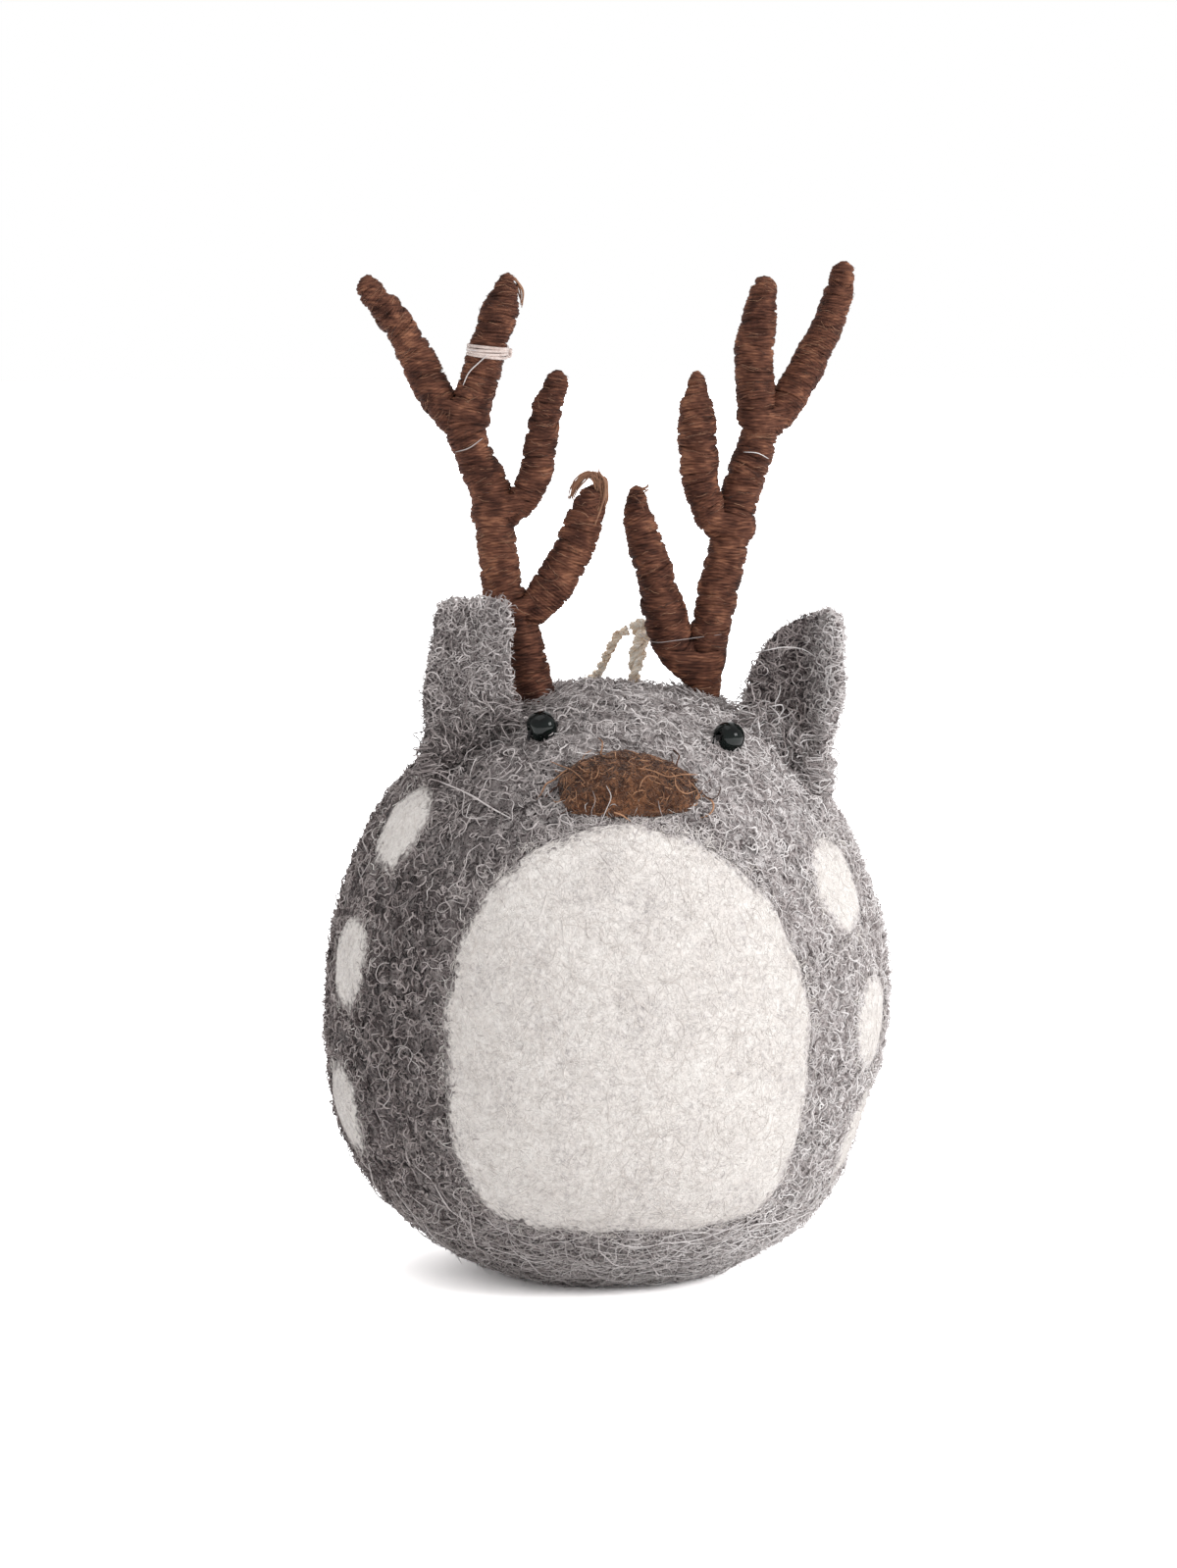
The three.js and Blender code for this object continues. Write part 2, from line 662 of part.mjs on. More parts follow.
const greyFelt = finish(0x8a8080, 1);
const whiteFelt = finish(0xe8e2dc, 1);
const noseFelt = finish(0x6a4a3a, 1);
const rawWool = finish(0xd8cfc0, 1);
const brownThread = finish(0x64463a, 0.9);
const blackThread = finish(0x1c1c1c, 0.8);
const whiteThread = finish(0xe6ded8, 0.8);
const twine = finish(0xb7a99e, 0.95);
const blackGlass = finish(0x101414, 0.08);
const steelWire = finish(0x8c8c88, 0.4, 1);

const ornament = new THREE.Group();

function add(name, body, material) {
  const mesh = new THREE.Mesh(geometryOf(body), material);
  mesh.name = name;
  ornament.add(mesh);
}

const besideBall = egg(GAP, BALL_SIDES, BALL_RINGS);
const tieGroove = tie(branch(onBall(LEFT_ANTLER.turn, LEFT_ANTLER.rise), LEFT_ANTLER.beamRows), GAP);
const antlers = {
  left: antler(LEFT_ANTLER, [besideBall, tieGroove]),
  right: antler(RIGHT_ANTLER, [besideBall]),
};
const bores = Object.values(antlers).map(({ bore }) => bore);
const dishes = [pad(BELLY_PLACE, BELLY, GAP), pad(NOSE_PLACE, NOSE, GAP)];

add('belly_patch', pad(BELLY_PLACE, BELLY), whiteFelt);
add('nose', pad(NOSE_PLACE, NOSE), noseFelt);
for (const [name, place] of Object.entries(SPOT_PLACES)) {
  dishes.push(pad(place, SPOT, GAP));
  add(`spot_${name}`, pad(place, SPOT), whiteFelt);
}
for (const [side, place] of Object.entries(EYE_PLACES)) {
  const frame = eyeFrame(place);
  dishes.push(beadDish(frame), stitch(frame, GAP));
  add(`eye_bead_${side}`, bead(frame), blackGlass);
  add(`eye_stitch_${side}`, stitch(frame), blackThread);
}
for (const [side, { windings, wires }] of Object.entries(antlers)) {
  add(`antler_wire_${side}`, wires, steelWire);
  for (const [name, sleeve] of Object.entries(windings)) add(`winding_${side}_${name}`, sleeve, brownThread);
}

const hollow = egg(GAP - FELT_LAYER, CORE_SIDES, CORE_RINGS);
const blank = egg(0, BALL_SIDES, BALL_RINGS, true);
add('wool_core', cut(egg(-FELT_LAYER, CORE_SIDES, CORE_RINGS), bores), rawWool);
add('felt_ball', cut(blank, [hollow, ...dishes, ...bores, loopRoot(GAP)]), greyFelt);
add('ear_left', largest(ear(LEFT_EAR).subtract(besideBall)), greyFelt);
add('ear_right', largest(ear(RIGHT_EAR).subtract(besideBall)), greyFelt);
add('tine_tie', tie(antlers.left.beam), whiteThread);
add('loop_root', loopRoot(), twine);
add('hanging_loop', loopStrand(), twine);

export default ornament;
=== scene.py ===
"""Looks of a reindeer ball of needle-felted wool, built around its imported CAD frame.

Sizes are in millimetres up to the mesh builders, which turn them into metres. Left and right are as
seen from the front, and the front looks along -Y.
"""
import math

import bmesh
import bpy
import numpy as np
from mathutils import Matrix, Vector, noise
from mathutils.bvhtree import BVHTree


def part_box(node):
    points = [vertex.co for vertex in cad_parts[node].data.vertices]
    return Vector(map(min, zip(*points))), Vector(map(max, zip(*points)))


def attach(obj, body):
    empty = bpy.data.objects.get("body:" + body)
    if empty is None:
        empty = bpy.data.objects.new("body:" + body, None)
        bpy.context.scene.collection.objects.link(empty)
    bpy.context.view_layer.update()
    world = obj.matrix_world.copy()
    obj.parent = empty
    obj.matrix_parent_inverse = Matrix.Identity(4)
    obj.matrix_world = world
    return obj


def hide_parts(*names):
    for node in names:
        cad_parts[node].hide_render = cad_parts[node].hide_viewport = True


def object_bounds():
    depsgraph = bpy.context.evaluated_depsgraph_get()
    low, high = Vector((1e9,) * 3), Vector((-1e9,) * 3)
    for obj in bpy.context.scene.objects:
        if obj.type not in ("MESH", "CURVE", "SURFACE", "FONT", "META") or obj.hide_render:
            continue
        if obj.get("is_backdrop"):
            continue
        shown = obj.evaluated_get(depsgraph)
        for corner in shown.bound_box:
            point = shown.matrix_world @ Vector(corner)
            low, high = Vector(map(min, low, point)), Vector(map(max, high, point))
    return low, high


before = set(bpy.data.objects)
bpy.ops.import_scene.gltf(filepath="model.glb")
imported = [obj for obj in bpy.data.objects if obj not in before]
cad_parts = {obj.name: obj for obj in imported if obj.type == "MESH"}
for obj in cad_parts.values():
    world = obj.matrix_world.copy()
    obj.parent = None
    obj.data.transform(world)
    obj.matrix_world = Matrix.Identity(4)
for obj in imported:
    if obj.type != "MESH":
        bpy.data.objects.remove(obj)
cad_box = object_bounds()

MM = 0.001
BODY = "ornament"
rng = np.random.default_rng(11)


def unit(vectors):
    return vectors / np.maximum(np.linalg.norm(vectors, axis=-1, keepdims=True), 1e-9)


def new_object(name, data):
    thing = bpy.data.objects.new(name, data)
    bpy.context.scene.collection.objects.link(thing)
    return thing


def turn_to(thing, direction):
    """Points a camera or a lamp in a direction."""
    thing.rotation_mode = "QUATERNION"
    thing.rotation_quaternion = Vector(direction).to_track_quat("-Z", "Y")


# Camera at the photograph's viewpoint
PHOTO_SIZE = np.array([1200, 1599])
OBJECT_HEIGHT, OBJECT_PIXELS = 110, 1037
PIXEL = OBJECT_HEIGHT / OBJECT_PIXELS  # millimetres at the object
CAMERA_TARGET = np.array([-2.1, 0, 53.24])
CAMERA_DISTANCE = 600
CAMERA_AZIMUTH, CAMERA_ELEVATION = np.radians((-5, 6))
SENSOR = 36

camera_back = np.array([
    math.sin(CAMERA_AZIMUTH) * math.cos(CAMERA_ELEVATION),
    -math.cos(CAMERA_AZIMUTH) * math.cos(CAMERA_ELEVATION),
    math.sin(CAMERA_ELEVATION),
])
camera_right = np.array([math.cos(CAMERA_AZIMUTH), math.sin(CAMERA_AZIMUTH), 0])
camera_up = np.cross(camera_back, camera_right)
camera_place = CAMERA_TARGET + camera_back * CAMERA_DISTANCE


def make_camera():
    data = bpy.data.cameras.new("camera")
    data.sensor_width = SENSOR
    data.lens = SENSOR * CAMERA_DISTANCE / (PHOTO_SIZE[1] * PIXEL)
    data.clip_start, data.clip_end = 0.01, 10
    camera = new_object("camera", data)
    camera.location = camera_place * MM
    turn_to(camera, -camera_back)
    bpy.context.scene.camera = camera


def pixel_ray(pixel):
    """Unit direction from the camera through a pixel of the photograph."""
    across, down = (np.asarray(pixel, float) - PHOTO_SIZE / 2) * PIXEL
    return unit(camera_right * across - camera_up * down - camera_back * CAMERA_DISTANCE)


make_camera()


# Mesh builders
RIM = "rim"


def mesh_object(name, arrays, material, slot, body=BODY, stands_for=(), values=None):
    """A smooth piece from (vertices, corners of its faces one after another, each face's size)."""
    vertices, loops, sizes = arrays
    mesh = bpy.data.meshes.new(name)
    mesh.vertices.add(len(vertices))
    mesh.vertices.foreach_set("co", (np.asarray(vertices, float) * MM).ravel())
    mesh.loops.add(len(loops))
    mesh.loops.foreach_set("vertex_index", np.asarray(loops, np.int32))
    mesh.polygons.add(len(sizes))
    starts = np.concatenate([[0], np.cumsum(sizes)[:-1]])
    mesh.polygons.foreach_set("loop_start", starts.astype(np.int32))
    mesh.update(calc_edges=True)
    mesh.validate()
    mesh.polygons.foreach_set("use_smooth", np.ones(len(mesh.polygons), bool))
    if values is not None:
        mesh.attributes.new(RIM, "FLOAT", "POINT").data.foreach_set("value", np.ravel(values))
    mesh.materials.append(material)
    piece = new_object(name, mesh)
    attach(piece, body)
    if stands_for:
        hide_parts(*stands_for)
    return piece


def tube_arrays(rings):
    """Closed tubes over rings (tubes, steps, sides, 3)."""
    count, steps, sides = rings.shape[:3]
    index = np.arange(count * steps * sides).reshape(count, steps, sides)
    after = np.roll(index, -1, axis=2)
    quads = np.stack([index[:, :-1], after[:, :-1], after[:, 1:], index[:, 1:]], axis=-1)
    ends = np.concatenate([index[:, 0, ::-1], index[:, -1]])
    loops = np.concatenate([quads.ravel(), ends.ravel()])
    sizes = np.concatenate([np.full(quads.size // 4, 4), np.full(len(ends), sides)])
    return rings.reshape(-1, 3), loops, sizes


def joined(parts):
    """Several meshes' arrays as those of one."""
    vertices, loops, sizes, count = [], [], [], 0
    for points, corners, lengths in parts:
        vertices.append(points)
        loops.append(corners + count)
        sizes.append(lengths)
        count += len(points)
    return np.concatenate(vertices), np.concatenate(loops), np.concatenate(sizes)


def steps_along(path):
    """How far along a path each of its points lies."""
    return np.concatenate([[0], np.cumsum(np.linalg.norm(np.diff(path, axis=0), axis=1))])


def resampled(path, count):
    travelled = steps_along(path)
    even = np.linspace(0, travelled[-1], count)
    return np.stack([np.interp(even, travelled, path[:, axis]) for axis in range(3)], axis=1)


STEPS_PER_SPAN = 24
FIRST_SIDE = (0.31, 0.95, 0.1)  # a direction that no path starts in


def smooth_path(points, spacing):
    """Centripetal Catmull-Rom curve in even steps, with the number of the row that each step lies at."""
    points = np.asarray(points, float)
    ends = [2 * points[0] - points[1], *points, 2 * points[-1] - points[-2]]
    share = np.linspace(0, 1, STEPS_PER_SPAN, endpoint=False)[:, None]
    pieces, rows = [], []
    for row, (a, b, c, d) in enumerate(zip(ends, ends[1:], ends[2:], ends[3:])):
        first, second, third = (np.linalg.norm(q - p) ** 0.5 for p, q in ((a, b), (b, c), (c, d)))
        place = share * second
        ab = a + (b - a) * (place + first) / first
        bc = b + (c - b) * place / second
        cd = c + (d - c) * (place - second) / third
        abc = ab + (bc - ab) * (place + first) / (first + second)
        bcd = bc + (cd - bc) * place / (second + third)
        pieces.append(abc + (bcd - abc) * place / second)
        rows.append(row + share[:, 0])
    curve = np.vstack([*pieces, points[-1:]])
    rows = np.concatenate([*rows, [len(points) - 1]])
    travelled = steps_along(curve)
    count = max(3, round(travelled[-1] / spacing) + 1)
    return resampled(curve, count), np.interp(np.linspace(0, travelled[-1], count), travelled, rows)


def frames_along(path):
    """Directions along and across a path, which turn with it as little as they can."""
    along = unit(np.gradient(path, axis=0))
    across = np.empty_like(path)
    side = np.cross(along[0], FIRST_SIDE)
    for i, direction in enumerate(along):
        side = unit(side - direction * (side @ direction))
        across[i] = side
    return along, across, np.cross(along, across)


def spokes_at(angles, across, above):
    return np.cos(angles)[..., None] * across + np.sin(angles)[..., None] * above


def thread_arrays(path, radius, sides=6):
    """One tube along a path, whose radius may change on its way."""
    along, across, above = frames_along(path)
    angles = 2 * np.pi * np.arange(sides) / sides
    spokes = spokes_at(angles, across[:, None], above[:, None])
    radii = np.broadcast_to(np.asarray(radius, float), len(path))
    return tube_arrays((path[:, None] + radii[:, None, None] * spokes)[None])


def vectors_of(items, name):
    values = np.zeros(len(items) * 3)
    items.foreach_get(name, values)
    return values.reshape(-1, 3)


def numbers_of(items, name, each=1):
    values = np.zeros(len(items) * each, np.int32)
    items.foreach_get(name, values)
    return values


def points_of(thing):
    return vectors_of(thing.data.vertices, "co") / MM


buried = {}  # by a piece's name, which of its corners lie under another piece


def tree_of(*pieces):
    """Search tree over the surfaces of pieces, without what lies under another piece."""
    vertices, faces = [], []
    for piece in pieces:
        start = len(vertices)
        vertices += [Vector(point) for point in points_of(piece)]
        under = buried.get(piece.name, np.zeros(len(piece.data.vertices), bool))
        for face in piece.data.polygons:
            corners = tuple(face.vertices)
            if not under[list(corners)].all():
                faces.append(tuple(start + i for i in corners))
    return BVHTree.FromPolygons(vertices, faces)


def lumps(points, size, seed):
    """Smooth noise from about -1 to 1 at each point, with lumps of about that size."""
    shift = Vector((seed, 0, 0))
    return np.array([noise.noise(Vector(point / size) + shift) for point in points])


def relief(points, layers):
    """Height of an uneven surface at each point, from layers of (height, size, seed)."""
    return sum(height * lumps(points, size, seed) for height, size, seed in layers)


def trefoil(steps):
    """A trefoil knot about 6 across and 2 high, closed on itself."""
    angles = np.linspace(0, 2 * np.pi, steps)
    across, up = np.sin(angles) + 2 * np.sin(2 * angles), np.cos(angles) - 2 * np.cos(2 * angles)
    return np.stack([across, up, -np.sin(3 * angles)], axis=1)


# Wool fibres
FLOOR_GAP = 0.03  # least height of a fibre over the floor
FIBRE_STEP = 0.27
FIBRE_SIDES = 3
FIBRE_TAPER = 0.8
BEND_KEPT, BEND_NEW = 0.75, 0.66  # what a bend keeps from step to step, and what chance adds
LYING_SINK, LOOSE_SINK = 0.06, 0.08  # how deep the ends are in the felt


def crawl(tree, starts, lengths, steps, curl, heading=None):
    """Curly paths over a surface and its normals along them; curl is the usual radius of their bends."""
    count = len(starts)
    paths, normals = np.empty((count, steps, 3)), np.empty((count, steps, 3))
    position = np.array(starts, float)
    pace = lengths / (steps - 1)
    bend = rng.normal(0, 1, count) / curl
    for step in range(steps):
        found = [tree.find_nearest(Vector(point)) for point in position]
        position = np.array([hit[0] for hit in found])
        normal = np.array([hit[1] for hit in found])
        paths[:, step], normals[:, step] = position, normal
        if heading is None:
            heading = rng.normal(size=normal.shape)
        heading = unit(heading - (heading * normal).sum(1, keepdims=True) * normal)
        bend = BEND_KEPT * bend + BEND_NEW * rng.normal(0, 1, count) / curl
        turn = (bend * pace)[:, None]
        heading = heading * np.cos(turn) + np.cross(normal, heading) * np.sin(turn)
        position = position + heading * pace[:, None]
    return paths, normals


def lying(paths, normals, high):
    """Fibres arched over the surface, each to its own height, with both ends in the felt."""
    share = np.linspace(0, 1, paths.shape[1])
    height = rng.uniform(0.15, 1, (len(paths), 1)) * high
    ripple = np.sin(share * rng.uniform(5, 14, (len(paths), 1)) + rng.uniform(0, 6, (len(paths), 1)))
    rise = height * np.sqrt(np.sin(np.pi * share).clip(0)) * (1 + 0.35 * ripple) - LYING_SINK
    return paths + rise[:, :, None] * normals


def loose(paths, normals, high):
    """Fibres with one end free, standing off the surface."""
    share = np.linspace(0, 1, paths.shape[1])
    height = rng.uniform(0.2, 1, (len(paths), 1)) * high
    rise = height * share ** rng.uniform(0.6, 1.6, (len(paths), 1)) - LOOSE_SINK
    return paths + rise[:, :, None] * normals


def strand_arrays(paths, ups, radii):
    """Tubes of few sides along paths (fibres, steps, 3), thinner at both ends and clear of the floor."""
    paths = paths.copy()
    paths[..., 2] = np.maximum(paths[..., 2], FLOOR_GAP + radii[:, None])
    along = unit(np.gradient(paths, axis=1))
    across = unit(np.cross(along, ups) + 1e-4)
    above = np.cross(across, along)
    angles = 2 * np.pi * np.arange(FIBRE_SIDES) / FIBRE_SIDES
    spokes = spokes_at(angles, across[:, :, None], above[:, :, None])
    taper = 1 - FIBRE_TAPER * np.linspace(-1, 1, paths.shape[1]) ** 6
    return tube_arrays(paths[:, :, None] + (radii[:, None] * taper)[:, :, None, None] * spokes)


def spread_over(pieces, count):
    """Points spread evenly over pieces' surfaces."""
    corners = []
    for piece in pieces:
        piece.data.calc_loop_triangles()
        index = numbers_of(piece.data.loop_triangles, "vertices", 3)
        corners.append(points_of(piece)[index].reshape(-1, 3, 3))
    a, b, c = np.concatenate(corners).transpose(1, 0, 2)
    area = np.linalg.norm(np.cross(b - a, c - a), axis=1)
    chosen = rng.choice(len(area), count, p=area / area.sum())
    u, v = rng.random((2, count, 1))
    u, v = np.where(u + v > 1, 1 - u, u), np.where(u + v > 1, 1 - v, v)
    return a[chosen] + u * (b - a)[chosen] + v * (c - a)[chosen]


def fibre_arrays(tree, starts, length, curl, radius, high, shape=lying, heading=None, keep=None):
    """Fibres from starts over a tree's surface; keep picks some of them by their paths."""
    lengths = rng.uniform(0.6, 1.4, len(starts)) * length
    steps = max(4, round(length / FIBRE_STEP))
    paths, normals = crawl(tree, starts, lengths, steps, curl, heading)
    if keep is not None:
        kept = keep(paths)
        paths, normals = paths[kept], normals[kept]
    radii = rng.uniform(0.7, 1.3, len(paths)) * radius
    return strand_arrays(shape(paths, normals, high), normals, radii)


# Materials
NOISE_SPREAD = (0.36, 0.64)  # most values of a noise lie between these
FELT_ROUGHNESS, FELT_SHEEN = 1.0, 0.15
FELT_RELIEF, PAD_RELIEF = 0.12, 0.06
OWN_TONE = 0.7  # how much of a fibre's tone is its own, and not that of its place
# Layers of curly lines: size, width and seed
LINE_LAYERS = [(1.1, 0.05, 1.7), (0.95, 0.055, 5.2), (0.8, 0.06, 8.8), (1.3, 0.045, 12.3)]


def linear(colour):
    """Linear colour with alpha from 0 to 255 display values."""
    return [((value / 255 + 0.055) / 1.055) ** 2.4 for value in colour] + [1.0]


class Nodes:
    """A new material, and short words for its nodes; sizes are those of the lumps, in millimetres."""

    def __init__(self, name, roughness, sheen=0.0, gloss=0.2, metal=0.0):
        self.material = bpy.data.materials.new(name)
        self.material.use_nodes = True
        self.tree = self.material.node_tree
        self.shader = self.tree.nodes["Principled BSDF"]
        for socket, value in (("Roughness", roughness), ("Sheen Weight", sheen),
                              ("Specular IOR Level", gloss), ("Metallic", metal)):
            self.shader.inputs[socket].default_value = value
        self.place = self.tree.nodes.new("ShaderNodeTexCoord").outputs["Object"]

    def noise(self, size, detail=2.0, distortion=0.0, seed=0.0, across=1.0):
        """Noise whose lumps are that many times as long across as they are high."""
        node = self.tree.nodes.new("ShaderNodeTexNoise")
        node.noise_dimensions = "4D"
        squeeze = self.tree.nodes.new("ShaderNodeVectorMath")
        squeeze.operation = "MULTIPLY"
        squeeze.inputs[1].default_value = (1 / across, 1 / across, 1)
        self.tree.links.new(self.place, squeeze.inputs[0])
        self.tree.links.new(squeeze.outputs[0], node.inputs["Vector"])
        node.inputs["W"].default_value = seed
        node.inputs["Scale"].default_value = 1 / (size * MM)
        node.inputs["Detail"].default_value = detail
        node.inputs["Distortion"].default_value = distortion
        return node.outputs["Fac"]

    def math(self, operation, a, b=0.0, clamp=False):
        node = self.tree.nodes.new("ShaderNodeMath")
        node.operation, node.use_clamp = operation, clamp
        for socket, value in zip(node.inputs, (a, b)):
            if isinstance(value, float):
                socket.default_value = value
            else:
                self.tree.links.new(value, socket)
        return node.outputs[0]

    def ramp(self, value, stops):
        node = self.tree.nodes.new("ShaderNodeValToRGB")
        elements = node.color_ramp.elements
        while len(elements) < len(stops):
            elements.new(0.5)
        for element, (position, colour) in zip(elements, stops):
            element.position, element.color = position, linear(colour)
        self.tree.links.new(value, node.inputs["Fac"])
        return node.outputs["Color"]

    def mix(self, share, a, b):
        node = self.tree.nodes.new("ShaderNodeMix")
        node.data_type = "RGBA"
        for socket, value in ((node.inputs["Factor"], share), (node.inputs["A"], a), (node.inputs["B"], b)):
            self.tree.links.new(value, socket)
        return node.outputs["Result"]

    def rightness(self, side):
        """0 on the left and 1 on the right; side holds the width of the change and its middle."""
        width, middle = side
        split = self.tree.nodes.new("ShaderNodeSeparateXYZ")
        self.tree.links.new(self.place, split.inputs[0])
        off = self.math("SUBTRACT", split.outputs["X"], middle * MM)
        return self.math("ADD", self.math("DIVIDE", off, width * MM), 0.5, clamp=True)

    def tones(self, value, rows, side):
        """Colour by a noise: one row of tones from dark to light, or else a left and a right row."""
        ramps = [self.ramp(value, list(zip(np.linspace(*NOISE_SPREAD, len(row)), row))) for row in rows]
        return ramps[0] if len(ramps) == 1 else self.mix(self.rightness(side), *ramps)

    def lines(self, size, width, seed):
        """Curly lines along which a smooth noise passes its middle value."""
        off = self.math("ABSOLUTE", self.math("SUBTRACT", self.noise(size, 1.0, 1.0, seed), 0.5))
        return self.math("SUBTRACT", 1.0, self.math("DIVIDE", off, width), clamp=True)

    def bump(self, height, depth):
        node = self.tree.nodes.new("ShaderNodeBump")
        node.inputs["Distance"].default_value = depth * MM
        self.tree.links.new(height, node.inputs["Height"])
        self.tree.links.new(node.outputs["Normal"], self.shader.inputs["Normal"])

    def paint(self, colour):
        self.tree.links.new(colour, self.shader.inputs["Base Color"])


def mottled_material(name, roughness, lump, tones, grain, depth, **looks):
    """Two tones in lumps, under a fine relief; lump and grain are the size, detail, distortion and seed."""
    nodes = Nodes(name, roughness, **looks)
    nodes.paint(nodes.ramp(nodes.noise(*lump), tones))
    nodes.bump(nodes.noise(*grain), depth)
    return nodes.material


class Wool:
    """Tones of a matted wool, as rows for Nodes.tones: its ground and its fibres."""

    def __init__(self, ground, fibre, side=None, patch=0.5, strength=1.0):
        self.ground, self.fibre, self.side = ground, fibre, side
        self.patch, self.strength = patch, strength

    def colour(self, nodes):
        """Colour and relief: a mottled ground under a net of curly lighter fibres; the ground is darker
        partly as painted shade in the hollows between the fibres.
        """
        patches = nodes.math("MULTIPLY", nodes.noise(6, 2.0, 0.5, 3.1), self.patch)
        cells = nodes.math("MULTIPLY", nodes.noise(0.5, 1.5, 0.8, 9.4), 1 - self.patch)
        ground = nodes.tones(nodes.math("ADD", patches, cells), self.ground, self.side)
        net = nodes.lines(*LINE_LAYERS[0])
        for layer in LINE_LAYERS[1:]:
            net = nodes.math("MAXIMUM", net, nodes.lines(*layer))
        uneven = nodes.math("MULTIPLY", nodes.noise(2.4, 2.0, 0.0, 21.0), 1.7 * self.strength)
        share = nodes.math("MULTIPLY", net, uneven, clamp=True)
        light = nodes.tones(nodes.noise(1.1, 1.0, 0.0, 30.0), self.fibre, self.side)
        return nodes.mix(share, ground, light), nodes.math("ADD", net, nodes.noise(0.5, 2.0, 0.8, 2.0))

    def material(self, name):
        nodes = Nodes(name, FELT_ROUGHNESS, FELT_SHEEN)
        colour, height = self.colour(nodes)
        nodes.paint(colour)
        nodes.bump(height, FELT_RELIEF)
        return nodes.material


def pad_material(name, wool, around, start, haze):
    """A pad's wool that gives way to the wool around it from a share of the way out to its rim."""
    nodes = Nodes(name, FELT_ROUGHNESS, FELT_SHEEN)
    colour, height = wool.colour(nodes)
    other, _ = around.colour(nodes)
    rim = nodes.tree.nodes.new("ShaderNodeAttribute")
    rim.attribute_name = RIM
    uneven = nodes.math("MULTIPLY", nodes.math("SUBTRACT", nodes.noise(1.2, 3.0, 1.5, 41.0), 0.5), haze)
    off = nodes.math("SUBTRACT", nodes.math("ADD", rim.outputs["Fac"], uneven), start)
    share = nodes.math("DIVIDE", off, 1.0 - start, clamp=True)
    nodes.paint(nodes.mix(share, colour, other))
    nodes.bump(height, PAD_RELIEF)
    return nodes.material


def yarn_material(name, looks, coarse, fine, tones, grain, depth):
    """Spun yarn: streaks of darker and lighter tones, from two noises, under a fine relief."""
    nodes = Nodes(name, *looks)
    mix = nodes.math("ADD", nodes.noise(*coarse), nodes.noise(*fine))
    nodes.paint(nodes.ramp(nodes.math("MULTIPLY", mix, 0.5), tones))
    nodes.bump(nodes.noise(*grain), depth)
    return nodes.material


def fibre_material(name, *rows, side=None):
    """Fibres, each with a tone of its own, and a little lighter and darker from place to place."""
    nodes = Nodes(name, 0.75, 0.1)
    own = nodes.tree.nodes.new("ShaderNodeNewGeometry").outputs["Random Per Island"]
    low, high = NOISE_SPREAD
    own = nodes.math("ADD", nodes.math("MULTIPLY", own, (high - low) * OWN_TONE), low * OWN_TONE)
    mix = nodes.math("ADD", own, nodes.math("MULTIPLY", nodes.noise(1.2, 1.0, 0.0, 4.0), 1 - OWN_TONE))
    nodes.paint(nodes.tones(mix, rows, side))
    return nodes.material


# The grey wool is darker on the left of each place, partly in its own tone and partly as painted shade on the
# side away from the light on the right; on the right ear the change paints its rim lighter, as lit, and its
# hollow darker, as shaded. The width and the middle of the change
TONE_AND_SHADE_SIDES = {"ball": (40, -4), "ear_left": (30, -15), "ear_right": (2.5, 21.4)}
# The ground's darkest tones stand partly for painted shade in the hollows between the fibres.
GREY_GROUND = [
    [(14, 9, 10), (24, 18, 18), (38, 30, 30), (58, 49, 49), (86, 76, 76)],
    [(52, 44, 44), (84, 75, 75), (124, 114, 114), (164, 154, 153), (198, 189, 188)],
]
GREY_FIBRE = [[(108, 97, 96), (180, 169, 167)], [(206, 198, 197), (250, 245, 244)]]
GREY_FIBRES = {
    "dark": ([(14, 9, 10), (44, 36, 36)], [(74, 65, 65), (134, 124, 123)]),
    "mid": ([(56, 47, 47), (112, 101, 100)], [(150, 140, 139), (208, 199, 198)]),
    "light": ([(122, 110, 109), (204, 193, 191)], [(208, 200, 199), (252, 248, 247)]),
    "white": ([(172, 161, 160), (240, 232, 230)], [(228, 221, 220), (255, 252, 251)]),
}
grey_wools = {place: Wool(GREY_GROUND, GREY_FIBRE, side) for place, side in TONE_AND_SHADE_SIDES.items()}
white_wool = Wool([[(190, 183, 181), (216, 209, 205), (229, 222, 217), (236, 230, 225), (242, 237, 232)]],
                  [[(228, 221, 216), (247, 242, 238)]], patch=0.45, strength=0.7)
grey_felts = {place: wool.material("grey_felt_" + place) for place, wool in grey_wools.items()}
belly_felt = pad_material("belly_felt", white_wool, grey_wools["ball"], 0.95, 0.25)
spot_felt = pad_material("spot_felt", white_wool, grey_wools["ball"], 0.78, 0.9)
nose_felt = Wool([[(18, 9, 6), (34, 19, 12), (62, 37, 24), (98, 62, 40)]],
                 [[(84, 52, 34), (150, 104, 74)]], patch=0.75).material("nose_felt")
raw_wool = Wool([[(170, 160, 145), (205, 197, 183), (220, 213, 200), (232, 227, 216)]],
                [[(225, 218, 205), (243, 239, 231)]]).material("raw_wool")
FIBRE_TONES = {
    "belly": [(220, 212, 207), (248, 243, 239)],
    "nose_dark": [(26, 12, 7), (96, 58, 38)],
    "nose_light": [(92, 57, 38), (196, 148, 114)],
    "brown_dark": [(48, 29, 22), (84, 55, 43)],
    "brown_light": [(116, 80, 61), (166, 124, 98)],
    "twine": [(206, 194, 180), (248, 243, 236)],
}
fibres = {name: fibre_material("fibre_" + name, row) for name, row in FIBRE_TONES.items()}
for place, side in TONE_AND_SHADE_SIDES.items():
    for tone, rows in GREY_FIBRES.items():
        fibres["%s_%s" % (place, tone)] = fibre_material("fibre_%s_%s" % (place, tone), *rows, side=side)


def add_fibres(name, tone, parts, slot="grey_felt", body=BODY):
    return mesh_object(name, joined(parts), fibres[tone], slot, body)


